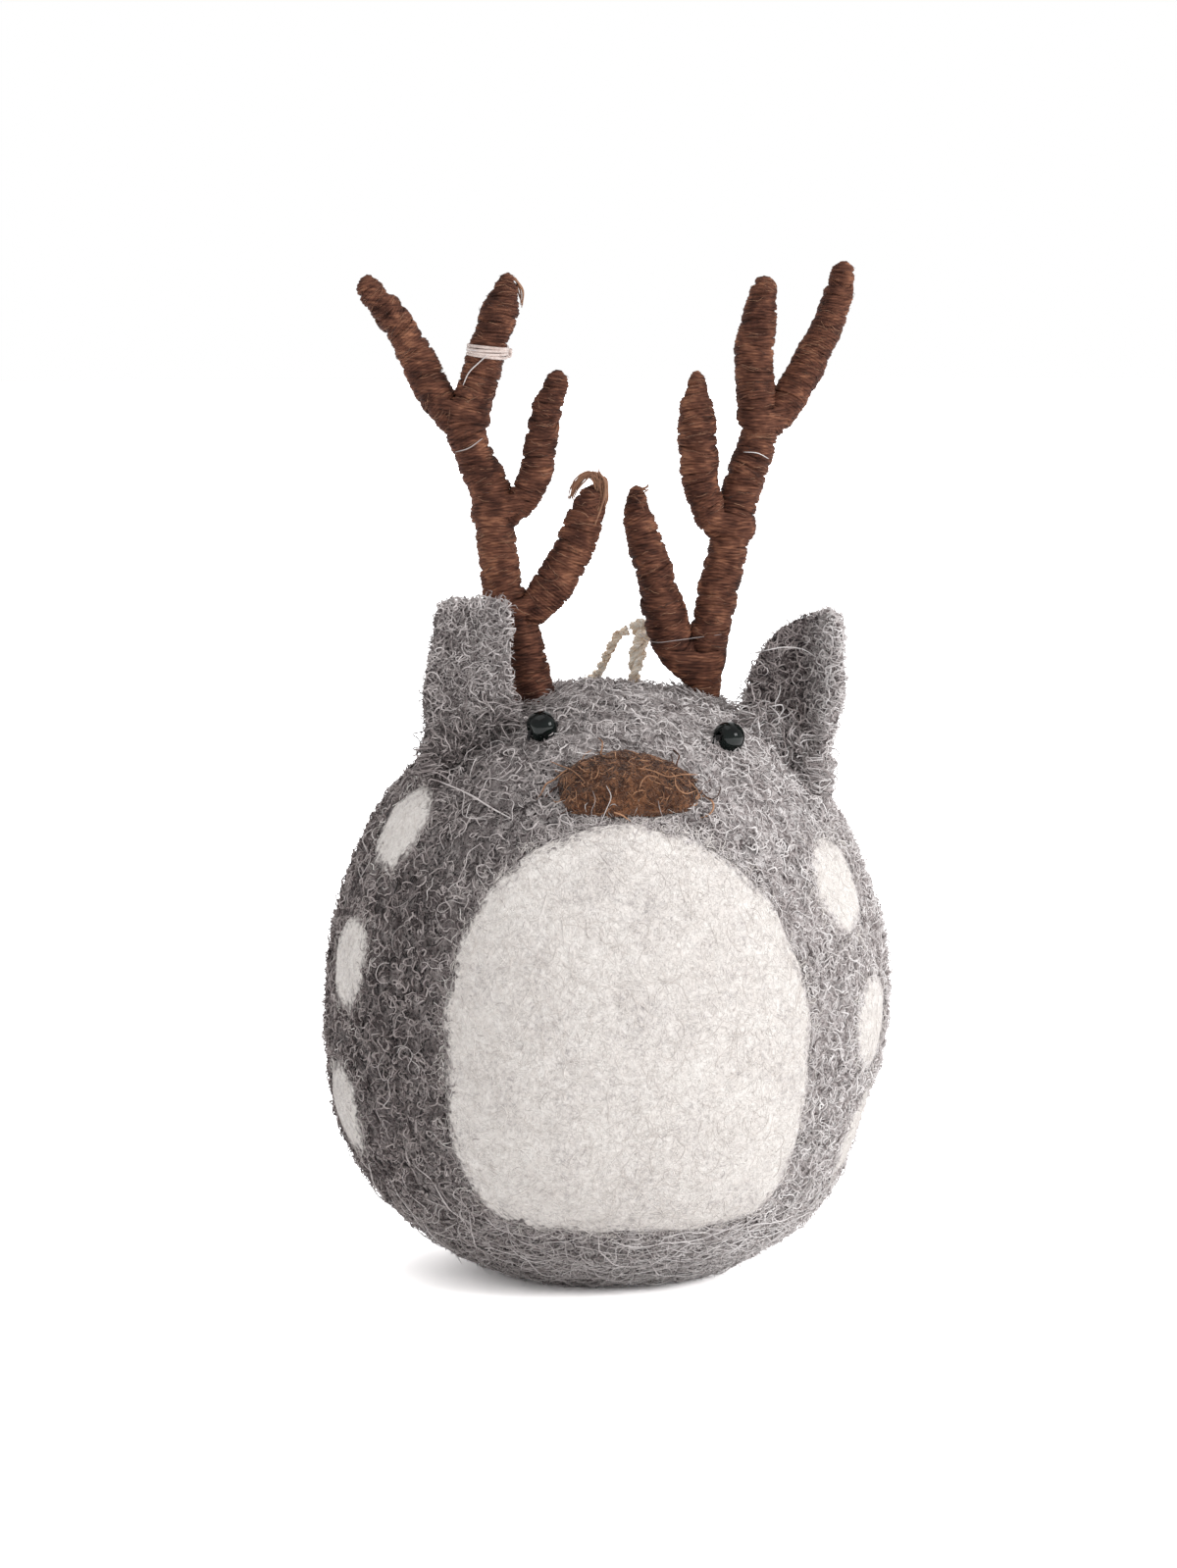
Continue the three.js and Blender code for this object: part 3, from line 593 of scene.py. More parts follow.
# Ball: the CAD form, with the felt's own lumps
FLAT_DEPTH = 0.5
MIDDLE_HEIGHT = 29.5
UPPER_FULLNESS = 2.1
LOWER_FULLNESS = 2.35
LEAST_HEIGHT = 0.02
SHIFT_HEIGHT, SHIFT_SPREAD = 16, 9  # where the ball leans to the left, and how far up and down
BALL_DETAIL, CORE_DETAIL = 7, 5
# Height, size and seed of each layer of lumps
BALL_LUMPS = [(0.25, 11, 3), (0.1, 3.4, 8), (0.08, 1.5, 5)]
CORE_LUMPS = [(0.35, 4, 2)]
PAD_LUMPS = [(1, 2.6, 4), (0.5, 1.1, 7)]
CORE_INSET = 0.6
DISH_DEPTH, DISH_SLOPE = 0.7, 9  # of the places that the pads lie in
PAD_HEM = [(1.0, -0.35), (0.97, -0.6)]  # share of the way out and height of the rings that turn down
ball_low, ball_high = (np.array(corner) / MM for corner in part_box("felt_ball"))
BALL_RADIUS = (ball_high[0] - ball_low[0]) / 2
UPPER_REACH = ball_high[2] - MIDDLE_HEIGHT
LOWER_REACH = MIDDLE_HEIGHT + FLAT_DEPTH
MIDDLE = np.array([0, 0, MIDDLE_HEIGHT])


def reach(directions):
    """Distance from the ball's middle to its surface along unit directions."""
    above = directions[..., 2] > 0
    fullness = np.where(above, UPPER_FULLNESS, LOWER_FULLNESS)
    across = np.hypot(directions[..., 0], directions[..., 1]) / BALL_RADIUS
    up = np.abs(directions[..., 2]) / np.where(above, UPPER_REACH, LOWER_REACH)
    return (across ** fullness + up ** fullness) ** (-1 / fullness)


def aim(turn, rise):
    """Unit directions from a turn from the face towards +X and a rise above level, in radians."""
    level = np.cos(rise)
    return np.stack([np.sin(turn) * level, -np.cos(turn) * level, np.sin(rise) + 0 * turn], axis=-1)


def settled(points):
    """The hand-made ball sits a little to the left below its widest level, as the photograph shows."""
    height = np.exp(-(((points[..., 2] - SHIFT_HEIGHT) / SHIFT_SPREAD) ** 2))
    share = points[..., 0] / BALL_RADIUS
    moved = points.copy()
    moved[..., 0] -= height * np.abs(share) * (1 + 0.35 * share)
    moved[..., 2] = np.maximum(moved[..., 2], LEAST_HEIGHT)
    return moved


def on_ball(directions, height=0.0):
    return MIDDLE + directions * (reach(directions) + height)[..., None]


def seat(turn, rise, *_):
    """Place on the ball of what is set at a turn and a rise in degrees."""
    return on_ball(aim(*np.radians((turn, rise))))


# Unevenness of the pads' rims: waves round the rim, and their size as a share of the way out
RAGGED_WAVES = [(2, 0.008), (3, 0.012), (5, 0.009), (8, 0.007), (13, 0.006), (21, 0.005)]


class Pad:
    """A felt pad's place on the ball, read from its CAD node: its middle and half widths as angles."""

    def __init__(self, node, upper, lower, flatness, puff=1.0, ragged=1.0, lean=0.0):
        points = points_of(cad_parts[node]) - MIDDLE
        distance = np.linalg.norm(points, axis=1)
        turn, rise = np.arctan2(points[:, 0], -points[:, 1]), np.arcsin(points[:, 2] / distance)
        around = np.angle(np.exp(1j * (turn - turn[0])))
        self.node, self.upper, self.lower, self.flatness = node, upper, lower, flatness
        self.ragged, self.lean = ragged, lean
        self.turn = turn[0] + (around.min() + around.max()) / 2
        self.rise = (rise.min() + rise.max()) / 2
        self.half_turn = (around.max() - around.min()) / 2
        self.half_rise = (rise.max() - rise.min()) / 2
        self.bulge = (distance - reach(points / distance[:, None])).max() * puff

    def share(self, directions):
        """How far out in the pad each direction lies: 0 in its middle, 1 on its rim."""
        turn = np.angle(np.exp(1j * (np.arctan2(directions[:, 0], -directions[:, 1]) - self.turn)))
        up = (np.arcsin(np.clip(directions[:, 2], -1, 1)) - self.rise) / self.half_rise
        across = np.abs(turn / self.half_turn) / self.leaning(turn, np.clip(up, -1, 1))
        fullness = np.where(up > 0, self.upper, self.lower)
        return (across ** fullness + np.abs(up) ** fullness) ** (1 / fullness)

    def directions(self, shares, angles):
        """Directions at a share of the way out to the rim, round the pad."""
        fullness = np.where(np.sin(angles) > 0, self.upper, self.lower)
        out = (np.abs(np.cos(angles)) ** fullness + np.abs(np.sin(angles)) ** fullness) ** (-1 / fullness)
        for waves, size in RAGGED_WAVES:
            out = out * (1 + self.ragged * size * np.sin(waves * angles + waves * self.turn + waves ** 2))
        up = shares * out * np.sin(angles)
        turn = self.half_turn * shares * out * np.cos(angles)
        turn = turn * self.leaning(turn, np.clip(up, -1, 1))
        return aim(self.turn + turn, self.rise + self.half_rise * up)

    def leaning(self, turn, up):
        """How much wider than usual the pad is: its right side leans out towards the bottom."""
        return np.where(turn > 0, 1 - self.lean * up, 1)

    def dome(self, shares):
        """Height of the pad over the ball."""
        return self.bulge * np.sqrt(np.clip(1 - shares ** self.flatness, 0, 1))

    def starts(self, count, low, high):
        """Random places on the pad between two shares of the way out."""
        shares = np.sqrt(rng.uniform(low ** 2, high ** 2, count))
        return settled(on_ball(self.directions(shares, rng.uniform(0, 2 * np.pi, count)), self.dome(shares)))


belly_pad = Pad("belly_patch", 2.55, 4.2, 3, lean=0.08)
nose_pad = Pad("nose", 2.0, 2.6, 2.2, puff=1.1, ragged=3)
spot_pads = [Pad(name, 2.1, 2.1, 2, puff=0.5, ragged=3)
             for name in sorted(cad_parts) if name.startswith("spot_")]
pads = [belly_pad, nose_pad, *spot_pads]


def icosphere(detail):
    """Directions of a fine sphere's corners, and its triangles."""
    data = bpy.data.meshes.new("sphere")
    work = bmesh.new()
    bmesh.ops.create_icosphere(work, subdivisions=detail, radius=1)
    work.to_mesh(data)
    work.free()
    points, faces = vectors_of(data.vertices, "co"), numbers_of(data.polygons, "vertices", 3)
    bpy.data.meshes.remove(data)
    return unit(points), faces


def make_ball():
    directions, faces = icosphere(BALL_DETAIL)
    place = on_ball(directions)
    dish = np.zeros(len(directions))
    for pad in pads:
        dish = np.maximum(dish, np.clip((1 - pad.share(directions)) * DISH_SLOPE, 0, 1))
    points = settled(on_ball(directions, relief(place, BALL_LUMPS) - DISH_DEPTH * dish))
    arrays = points, faces, np.full(len(faces) // 3, 3)
    piece = mesh_object("felt_ball_wool", arrays, grey_felts["ball"], "grey_felt", stands_for=["felt_ball"])
    buried[piece.name] = dish > 0.3
    return piece


def make_core():
    directions, faces = icosphere(CORE_DETAIL)
    low, high = (np.array(corner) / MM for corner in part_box("wool_core"))
    points = (low + high) / 2 + directions * (high - low) / 2
    points = points + (relief(points, CORE_LUMPS) - CORE_INSET)[:, None] * directions
    arrays = points, faces, np.full(len(faces) // 3, 3)
    piece = mesh_object("wool_core_raw", arrays, raw_wool, "raw_wool", stands_for=["wool_core"])


def make_pad(pad, name, material, slot, sides, rings, rough):
    """A felt pad as a domed disc whose rim turns down into its dish."""
    hem_shares, hem_heights = zip(*PAD_HEM)
    shares = np.concatenate([np.linspace(0.02, 1, rings), hem_shares])[:, None]
    sink = np.concatenate([np.zeros(rings), hem_heights])[:, None]
    shares, sink, angles = np.broadcast_arrays(shares, sink, 2 * np.pi * np.arange(sides) / sides)
    directions = pad.directions(shares, angles)
    height = pad.dome(shares) + sink
    place = on_ball(directions, height)
    flat = place.reshape(-1, 3)
    fine = rough * relief(flat, PAD_LUMPS).reshape(height.shape)
    points = settled(place + directions * fine[:, :, None])
    piece = mesh_object(name, tube_arrays(points[None]), material, slot, stands_for=[pad.node], values=shares)
    buried[name] = sink.ravel() < 0
    return piece


ball = make_ball()
make_core()
belly = make_pad(belly_pad, "belly_felt", belly_felt, "white_felt", sides=260, rings=90, rough=0.1)
nose = make_pad(nose_pad, "nose_wool", nose_felt, "brown_felt", sides=120, rings=40, rough=0.2)
spots = [make_pad(pad, pad.node + "_felt", spot_felt, "white_felt", sides=72, rings=22, rough=0.08)
         for pad in spot_pads]
skin = tree_of(ball, belly, nose, *spots)


# Ears: the CAD form, rounded and felted
EAR_VOXEL = 0.33
EAR_LUMPS = [(0.2, 4, 6), (0.14, 1.4, 9)]
EAR_INSET = {"left": 0.35, "right": -0.1}  # how far the felt stays under the CAD form, for its stubble


def remeshed(node, voxel):
    """A CAD node's form as an even, rounded mesh, with its normals."""
    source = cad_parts[node]
    copy = new_object("copy", source.data.copy())
    remesh = copy.modifiers.new("remesh", "REMESH")
    remesh.mode, remesh.voxel_size = "VOXEL", voxel * MM
    smooth = copy.modifiers.new("smooth", "SMOOTH")
    smooth.iterations, smooth.factor = 1, 0.5
    mesh = bpy.data.meshes.new_from_object(copy.evaluated_get(bpy.context.evaluated_depsgraph_get()))
    points, normals = vectors_of(mesh.vertices, "co") / MM, vectors_of(mesh.vertices, "normal")
    loops, sizes = numbers_of(mesh.loops, "vertex_index"), numbers_of(mesh.polygons, "loop_total")
    bpy.data.objects.remove(copy)
    return points, normals, loops, sizes


def make_ear(side):
    points, normals, loops, sizes = remeshed("ear_" + side, EAR_VOXEL)
    height = relief(points, EAR_LUMPS) - EAR_INSET[side]
    arrays = points + height[:, None] * normals, loops, sizes
    material = grey_felts["ear_" + side]
    piece = mesh_object("ear_%s_felt" % side, arrays, material, "grey_felt", stands_for=["ear_" + side])
    return piece


ears = {side: make_ear(side) for side in ("left", "right")}


# Fibres on the ball: tone, pieces, fibres in each, length, radius of the curls, radius, height, and how
# much commoner they are on the right
# The bias puts the dark fibres on the left and the light ones on the right: partly the wool's own tone,
# partly painted shade on the left and painted light on the right.
BALL_LAYERS = [
    ("dark", 1, 2400, 2.6, 0.45, 0.085, 0.3, -0.5),
    ("mid", 2, 3300, 2.8, 0.38, 0.08, 0.42, 0.0),
    ("light", 4, 3500, 2.5, 0.34, 0.085, 0.6, 0.1),
    ("white", 1, 1700, 4.6, 1.0, 0.05, 0.75, 0.3),
]
STUBBLE = [("mid", 2, 5000, 0.0), ("light", 2, 5000, 0.2)]
STUBBLE_LAYERS = [(1, 0.7, 0.055, 1.1), (0.1, 2.2, 0.035, 1.6)]  # share of them, length, radius, height
BOTTOM_STARTS = 8000  # over the whole ball
BOTTOM_HEIGHTS = (0.8, 9)  # between which the longer fibres run round the ball


def off_pads(paths):
    """Which paths have less than a fifth of their steps on a pad."""
    directions = unit(paths.reshape(-1, 3) - MIDDLE)
    inside = np.zeros(len(directions), bool)
    for pad in pads:
        inside |= pad.share(directions) < 1
    return inside.reshape(paths.shape[:2]).mean(axis=1) < 0.2


def grey_places(bias):
    """Picks the fibres on the grey wool, with more of them on the right where the bias is above zero."""
    def keep(paths):
        share = paths[:, paths.shape[1] // 2, 0] / BALL_RADIUS
        return off_pads(paths) & (rng.random(len(paths)) < np.clip(0.75 + 0.6 * bias * share, 0.05, 1))
    return keep


def ball_fibres():
    for tone, pieces, count, length, curl, radius, high, bias in BALL_LAYERS:
        for number in range(pieces):
            arrays = fibre_arrays(skin, spread_over([ball], count), length, curl, radius, high,
                                  keep=grey_places(bias))
            add_fibres("ball_fibres_%s_%d" % (tone, number + 1), "ball_" + tone, [arrays])
    for tone, pieces, count, bias in STUBBLE:
        for number in range(pieces):
            parts = []
            for share, length, radius, high in STUBBLE_LAYERS:
                starts = spread_over([ball], round(count * share))
                parts.append(fibre_arrays(skin, starts, length, 0.6, radius, high, loose,
                                          keep=grey_places(bias)))
            add_fibres("ball_stubble_%s_%d" % (tone, number + 1), "ball_" + tone, parts)


def bottom_fibres():
    """Longer wavy fibres that run round the ball near its bottom."""
    starts = spread_over([ball], BOTTOM_STARTS)
    low, high = BOTTOM_HEIGHTS
    starts = starts[(starts[:, 2] < high) & (starts[:, 2] > low)]
    heading = np.cross(starts - MIDDLE, (0, 0, 1.0)) * rng.choice([-1, 1], (len(starts), 1))
    for number, tone in enumerate(("light", "white")):
        chosen = np.arange(len(starts)) % 2 == number
        arrays = fibre_arrays(skin, starts[chosen], 10, 3.2, 0.06, 0.7, heading=heading[chosen],
                              keep=off_pads)
        add_fibres("bottom_fibres_" + tone, "ball_" + tone, [arrays])


ball_fibres()
bottom_fibres()


# Fibres on the pads and across their rims: piece, how many, between which shares of the way out, length,
# radius of the curls, radius, height and shape
BELLY_FIBRES = [
    ("belly_fibres", 1500, 0, 0.97, 4, 1.6, 0.045, 0.2, lying),
    ("belly_fibres", 1500, 0, 0.99, 1.1, 0.8, 0.03, 0.4, loose),
    ("pad_rim_white", 1100, 0.94, 1.02, 2.0, 0.9, 0.045, 0.35, lying),
    ("pad_rim_grey", 800, 0.98, 1.05, 2.4, 0.6, 0.055, 0.35, lying),
    ("pad_rim_grey", 160, 0, 1, 1.4, 1.0, 0.035, 0.12, lying),
]
SPOT_FIBRES = [
    ("pad_rim_white", 90, 0, 0.8, 2.6, 1.2, 0.045, 0.3, lying),
    ("pad_rim_white", 110, 0.8, 1.15, 2.2, 1.2, 0.05, 0.4, lying),
    ("pad_rim_grey", 170, 0.8, 1.15, 2.4, 0.6, 0.06, 0.45, lying),
]
PAD_FIBRE_LOOKS = {  # tone and slot
    "belly_fibres": ("belly", "white_felt"),
    "pad_rim_white": ("belly", "white_felt"),
    "pad_rim_grey": ("ball_light", "grey_felt"),
}
NOSE_FIBRES = [("nose_dark", 240, 0.8), ("nose_light", 300, 1.3)]  # tone, how many, height
EAR_LAYERS = [  # tone, how many, radius, height
    ("dark", 350, 0.085, 0.25),
    ("mid", 620, 0.08, 0.4),
    ("light", 800, 0.085, 0.6),
    ("white", 170, 0.055, 0.75),
]


def pad_fibres():
    parts = {name: [] for name in PAD_FIBRE_LOOKS}
    for pad, rows in [(belly_pad, BELLY_FIBRES), *((pad, SPOT_FIBRES) for pad in spot_pads)]:
        for name, count, low, high, *form in rows:
            parts[name].append(fibre_arrays(skin, pad.starts(count, low, high), *form))
    for name, (tone, slot) in PAD_FIBRE_LOOKS.items():
        add_fibres(name, tone, parts[name], slot)


def nose_fibres():
    """A loose bundle, combed from side to side."""
    for tone, count, high in NOSE_FIBRES:
        starts = nose_pad.starts(count, 0, 1.0)
        heading = np.array([1, 0, 0]) * rng.choice([-1, 1], (count, 1)) + rng.normal(0, 0.35, (count, 3))
        parts = [fibre_arrays(skin, starts, 4.6, 1.6, 0.1, high, heading=heading),
                 fibre_arrays(skin, nose_pad.starts(count, 0.3, 1.02), 2.0, 0.9, 0.055, 0.7, loose)]
        add_fibres("nose_fibres_" + tone[5:], tone, parts, "brown_felt")


def ear_fibres(side, piece):
    tree = tree_of(piece)
    for tone, count, radius, high in EAR_LAYERS:
        parts = [fibre_arrays(tree, spread_over([piece], count), 2.9, 0.45, radius, high)]
        if tone in ("mid", "light"):
            parts.append(fibre_arrays(tree, spread_over([piece], 2 * count), 0.6, 0.4, 0.05, 1.2, loose))
            parts.append(fibre_arrays(tree, spread_over([piece], count // 5), 2.2, 0.9, 0.035, 1.6, loose))
        add_fibres("ear_%s_fibres_%s" % (side, tone), "ear_%s_%s" % (side, tone), parts)


pad_fibres()
nose_fibres()
for side, piece in ears.items():
    ear_fibres(side, piece)


# Threads and twines along a path
THREAD_SIDES = 8
YARN_RADII_ACROSS = 6.4  # in the twine's diameter
TWINE_PLY_SHARE = 0.25  # how far a ply lies from the twine's middle, as a share of the diameter
YARN_SPACING = 0.95  # how far a yarn lies from its ply's middle, in radii of the yarn


def plied(path, offset, lay, plies, turn=0.0):
    """Centre lines of the plies of a twine along a path; lay is how far one full turn takes."""
    along, across, above = frames_along(path)
    travelled = steps_along(path)
    for ply in range(plies):
        angle = 2 * np.pi * (travelled / lay + ply / plies) + turn
        yield path + offset * spokes_at(angle, across, above)


def twine_arrays(path, diameter, lay, yarn_lay):
    """A two-ply twine, each ply twisted from three yarns."""
    yarn = diameter / YARN_RADII_ACROSS
    parts = []
    for ply, line in enumerate(plied(path, diameter * TWINE_PLY_SHARE, lay, 2)):
        for yarn_line in plied(line, yarn * YARN_SPACING, yarn_lay, 3, ply):
            wobble = 1 + 0.12 * lumps(yarn_line, 0.8, ply)
            parts.append(thread_arrays(yarn_line, yarn * wobble))
    return joined(parts)


# Antlers: thread wound round a branched wire
ANTLER_HEIGHT = 46
WOUND_RADIUS = 2.1
BRANCH_STEP = 0.15
NECK_DEPTH, NECK_PLACE, NECK_LENGTH = 0.1, 2.4, 0.7  # a slightly narrower place under each tip
THREAD_PITCH = 0.95
PLY_RADIUS = 0.21  # the yarn is a flat one of plies that lie side by side
PLIES = (-1, 0, 1)
PLY_SPACING = 0.3
PLY_DROP = 0.06
STEPS_PER_TURN = 20
STRAIGHT_RUN = 3  # over which the turns come to lie straight towards the tip
SLEEVE_DEPTH = 0.24
SLEEVE_STEP, SLEEVE_SIDES = 0.4, 20
WRAP_SPAN = (0.35, 0.92)  # how far beam and tine have parted where the turns round a fork start and end
WRAP_TAPER = 0.4  # how far the first and last turns round a fork sink in
WRAP_LIFT, WRAP_SLANT = 0.04, 0.9
STEPS_PER_WRAP, WRAP_STEP = 40, 0.5
NAP = [("dark", 5, 0.1), ("light", 6, 0.13)]  # tone, fibres for each millimetre of a tine, height
# Centre lines, as in the CAD: across, depth and up as shares of the height, then the thickness
# as a share of the wound radius
ANTLER_SHARES = {
    "left": {
        "beam": [
            (0.002, 0, -0.06, 1.05), (-0.02, 0.005, 0.042, 1.05), (-0.046, 0.01, 0.153, 1.04),
            (-0.083, 0.01, 0.253, 1.02), (-0.1, 0.015, 0.363, 1), (-0.11, 0.02, 0.463, 1.05),
            (-0.15, 0.02, 0.568, 0.98), (-0.17, 0.02, 0.643, 1.05), (-0.15, 0.02, 0.703, 1.02),
            (-0.13, 0.015, 0.778, 1), (-0.108, 0.01, 0.848, 0.9), (-0.09, 0.01, 0.908, 0.92),
            (-0.077, 0.01, 0.958, 0.75), (-0.07, 0.01, 0.99, 0.5),
        ],
        "outer": [
            (-0.158, 0.02, 0.6, 0.4), (-0.188, 0.03, 0.64, 0.8), (-0.238, 0.045, 0.706, 0.92),
            (-0.272, 0.055, 0.776, 0.88), (-0.312, 0.06, 0.848, 0.84), (-0.357, 0.06, 0.91, 0.78),
            (-0.389, 0.055, 0.95, 0.62), (-0.397, 0.05, 0.98, 0.42),
        ],
        "middle": [
            (-0.104, 0.018, 0.4, 0.4), (-0.06, 0.01, 0.437, 0.74), (-0.018, -0.01, 0.51, 0.86),
            (0.001, -0.025, 0.596, 0.82), (0.013, -0.03, 0.672, 0.78), (0.032, -0.03, 0.722, 0.68),
            (0.046, -0.03, 0.765, 0.52),
        ],
        "inner": [
            (-0.05, 0.01, 0.16, 0.4), (-0.015, 0, 0.211, 0.9), (0.028, -0.015, 0.266, 0.99),
            (0.067, -0.025, 0.336, 0.97), (0.096, -0.03, 0.402, 0.95), (0.12, -0.03, 0.47, 0.88),
            (0.134, -0.03, 0.535, 0.62),
        ],
    },
    "right": {
        "beam": [
            (0.008, 0.01, -0.06, 0.8), (0.003, 0, 0.042, 0.88), (0.01, -0.01, 0.123, 0.98),
            (0.022, -0.015, 0.193, 1.02), (0.053, -0.015, 0.328, 1), (0.086, -0.01, 0.468, 1),
            (0.108, -0.005, 0.538, 1.02), (0.131, 0, 0.608, 0.97), (0.133, 0, 0.648, 0.98),
            (0.122, -0.005, 0.723, 1), (0.121, -0.01, 0.813, 0.97), (0.13, -0.015, 0.888, 0.9),
            (0.14, -0.015, 0.948, 0.76), (0.155, -0.015, 0.99, 0.48),
        ],
        "outer": [
            (0.131, 0, 0.61, 0.4), (0.162, 0.01, 0.652, 0.82), (0.207, 0.025, 0.705, 0.94),
            (0.248, 0.035, 0.777, 0.88), (0.286, 0.04, 0.85, 0.82), (0.317, 0.04, 0.922, 0.76),
            (0.334, 0.035, 0.982, 0.68), (0.34, 0.03, 1.023, 0.5),
        ],
        "middle": [
            (0.065, -0.013, 0.378, 0.4), (0.026, -0.02, 0.42, 0.8), (-0.004, -0.035, 0.493, 0.95),
            (-0.012, -0.045, 0.57, 1.02), (-0.018, -0.05, 0.643, 1), (-0.019, -0.05, 0.708, 0.84),
            (-0.017, -0.05, 0.77, 0.42),
        ],
        "inner": [
            (0.004, 0, 0.035, 0.5), (-0.034, -0.01, 0.085, 0.9), (-0.072, -0.02, 0.143, 1.08),
            (-0.094, -0.03, 0.218, 1.04), (-0.111, -0.035, 0.29, 0.97), (-0.135, -0.04, 0.365, 0.93),
            (-0.155, -0.04, 0.44, 0.82), (-0.158, -0.04, 0.505, 0.5),
        ],
    },
}
ANTLER_PLACES = {"left": (-60.3, 75.1), "right": (81.7, 72.9)}  # turn and rise, in degrees
ANTLER_SEEDS = {"left": 3, "right": 11}
# Ends of the windings: how much is left off, and how thin they get over how long
CAPPED, POINTED, FRAYED = (0, 0.96, 0.9), (0, 0.55, 3.2), (1.6, 0.55, 2.4)
TIPS = {
    "left": {"beam": POINTED, "outer": CAPPED, "middle": CAPPED, "inner": FRAYED},
    "right": {"beam": CAPPED, "outer": CAPPED, "middle": POINTED, "inner": POINTED},
}


class Branch:
    """A beam or tine: its centre line in even steps, its wound radius and the directions across it."""

    def __init__(self, base, rows, tip):
        left_off, thin, taper = tip
        rows = np.array(rows)
        path, place = smooth_path(base + rows[:, :3] * ANTLER_HEIGHT, BRANCH_STEP)
        kept = steps_along(path)[-1] - steps_along(path) >= left_off
        self.path = path[kept]
        self.travelled = steps_along(self.path)
        self.length = self.travelled[-1]
        self.directions = frames_along(self.path)
        radius = WOUND_RADIUS * np.interp(place, np.arange(len(rows)), rows[:, 3])[kept]
        left = self.length - self.travelled
        neck = NECK_DEPTH * np.exp(-(((left - NECK_PLACE) / NECK_LENGTH) ** 2))
        slim = 1 - (1 - thin) * np.clip(1 - left / taper, 0, 1) ** 1.5
        self.radius = radius * slim * (1 - neck)

    def at(self, travelled, values):
        flat = values.reshape(len(self.travelled), -1)
        found = np.stack([np.interp(travelled, self.travelled, column) for column in flat.T], axis=-1)
        return found[..., 0] if values.ndim == 1 else found

    def outline(self):
        """Length of the winding's outline, up its side and over the domed tip."""
        return self.length + (np.pi / 2 - 1) * self.radius[-1]

    def skin(self, travelled, angle, height):
        """Points on the winding: how far along its outline, the angle round it and the height above it."""
        tip = self.radius[-1]
        bend = np.clip((travelled - self.length + tip) / tip, 0, np.pi / 2)
        axial = np.minimum(travelled, self.length - tip) + tip * np.sin(bend)
        along, across, above = (self.at(axial, values) for values in self.directions)
        spoke = spokes_at(angle, across, above)
        out = (self.at(axial, self.radius) + height) * np.cos(bend)
        return self.at(axial, self.path) + out[..., None] * spoke + (height * np.sin(bend))[..., None] * along


def unevenness(place, seed):
    """How much thicker or thinner than usual the winding is at each of its points."""
    return relief(place, [(0.28, 3.2, seed), (0.08, 1.5, seed + 7)])


def wound(branch, seed):
    """Arrays of the yarn wound round a branch in one run, some of its turns lying askew."""
    turns = branch.outline() / THREAD_PITCH
    angle = np.linspace(0, 2 * np.pi * turns, int(turns * STEPS_PER_TURN))
    travelled = angle / (2 * np.pi) * THREAD_PITCH
    drift = np.array([noise.noise(Vector((t / 3, seed, 0))) for t in travelled])
    bundle = np.array([noise.noise(Vector((t / 1.1, seed, 5))) for t in travelled])
    slant = np.clip((branch.outline() - travelled) / STRAIGHT_RUN, 0, 1)
    askew = (0.4 + 0.6 * drift) * np.sin(angle + 6 * drift) * slant
    parts = []
    for ply in PLIES:
        beside = np.clip(travelled + askew + ply * PLY_SPACING, 0, branch.outline() - 0.05)
        place = branch.skin(beside, angle, np.zeros(len(angle)))
        height = unevenness(place, seed) + 0.12 * bundle - PLY_RADIUS / 2 - PLY_DROP * abs(ply)
        radius = PLY_RADIUS * (1 + 0.12 * lumps(place, 0.9, seed + 3 + ply))
        parts.append(thread_arrays(branch.skin(beside, angle, height), radius))
    return joined(parts)


def sleeve(branch, seed):
    """Arrays of the wound mass below the outermost thread."""
    travelled = np.linspace(0, branch.outline() - 0.02, int(branch.outline() / SLEEVE_STEP))[:, None]
    angle = 2 * np.pi * np.arange(SLEEVE_SIDES) / SLEEVE_SIDES
    travelled, angle = np.broadcast_arrays(travelled, angle[None])
    place = branch.skin(travelled, angle, np.zeros(angle.shape))
    height = unevenness(place.reshape(-1, 3), seed).reshape(angle.shape) - SLEEVE_DEPTH
    return tube_arrays(branch.skin(travelled, angle, height)[None])


def nap_arrays(branch, tree, density, length, radius, high, shape=lying):
    """Short fibres of a winding, most of them along its turns; density is per millimetre of its length."""
    count = int(branch.length * density)
    travelled = rng.uniform(0, branch.outline() - 0.3, count)
    angle = rng.uniform(0, 2 * np.pi, count)
    starts, ahead = (branch.skin(travelled, angle + step, np.zeros(count)) for step in (0, 0.05))
    heading = unit(ahead - starts) * rng.choice([-1, 1], (count, 1)) + rng.normal(0, 0.3, (count, 3))
    return fibre_arrays(tree, starts, length, 3.0, radius, high, shape, heading)


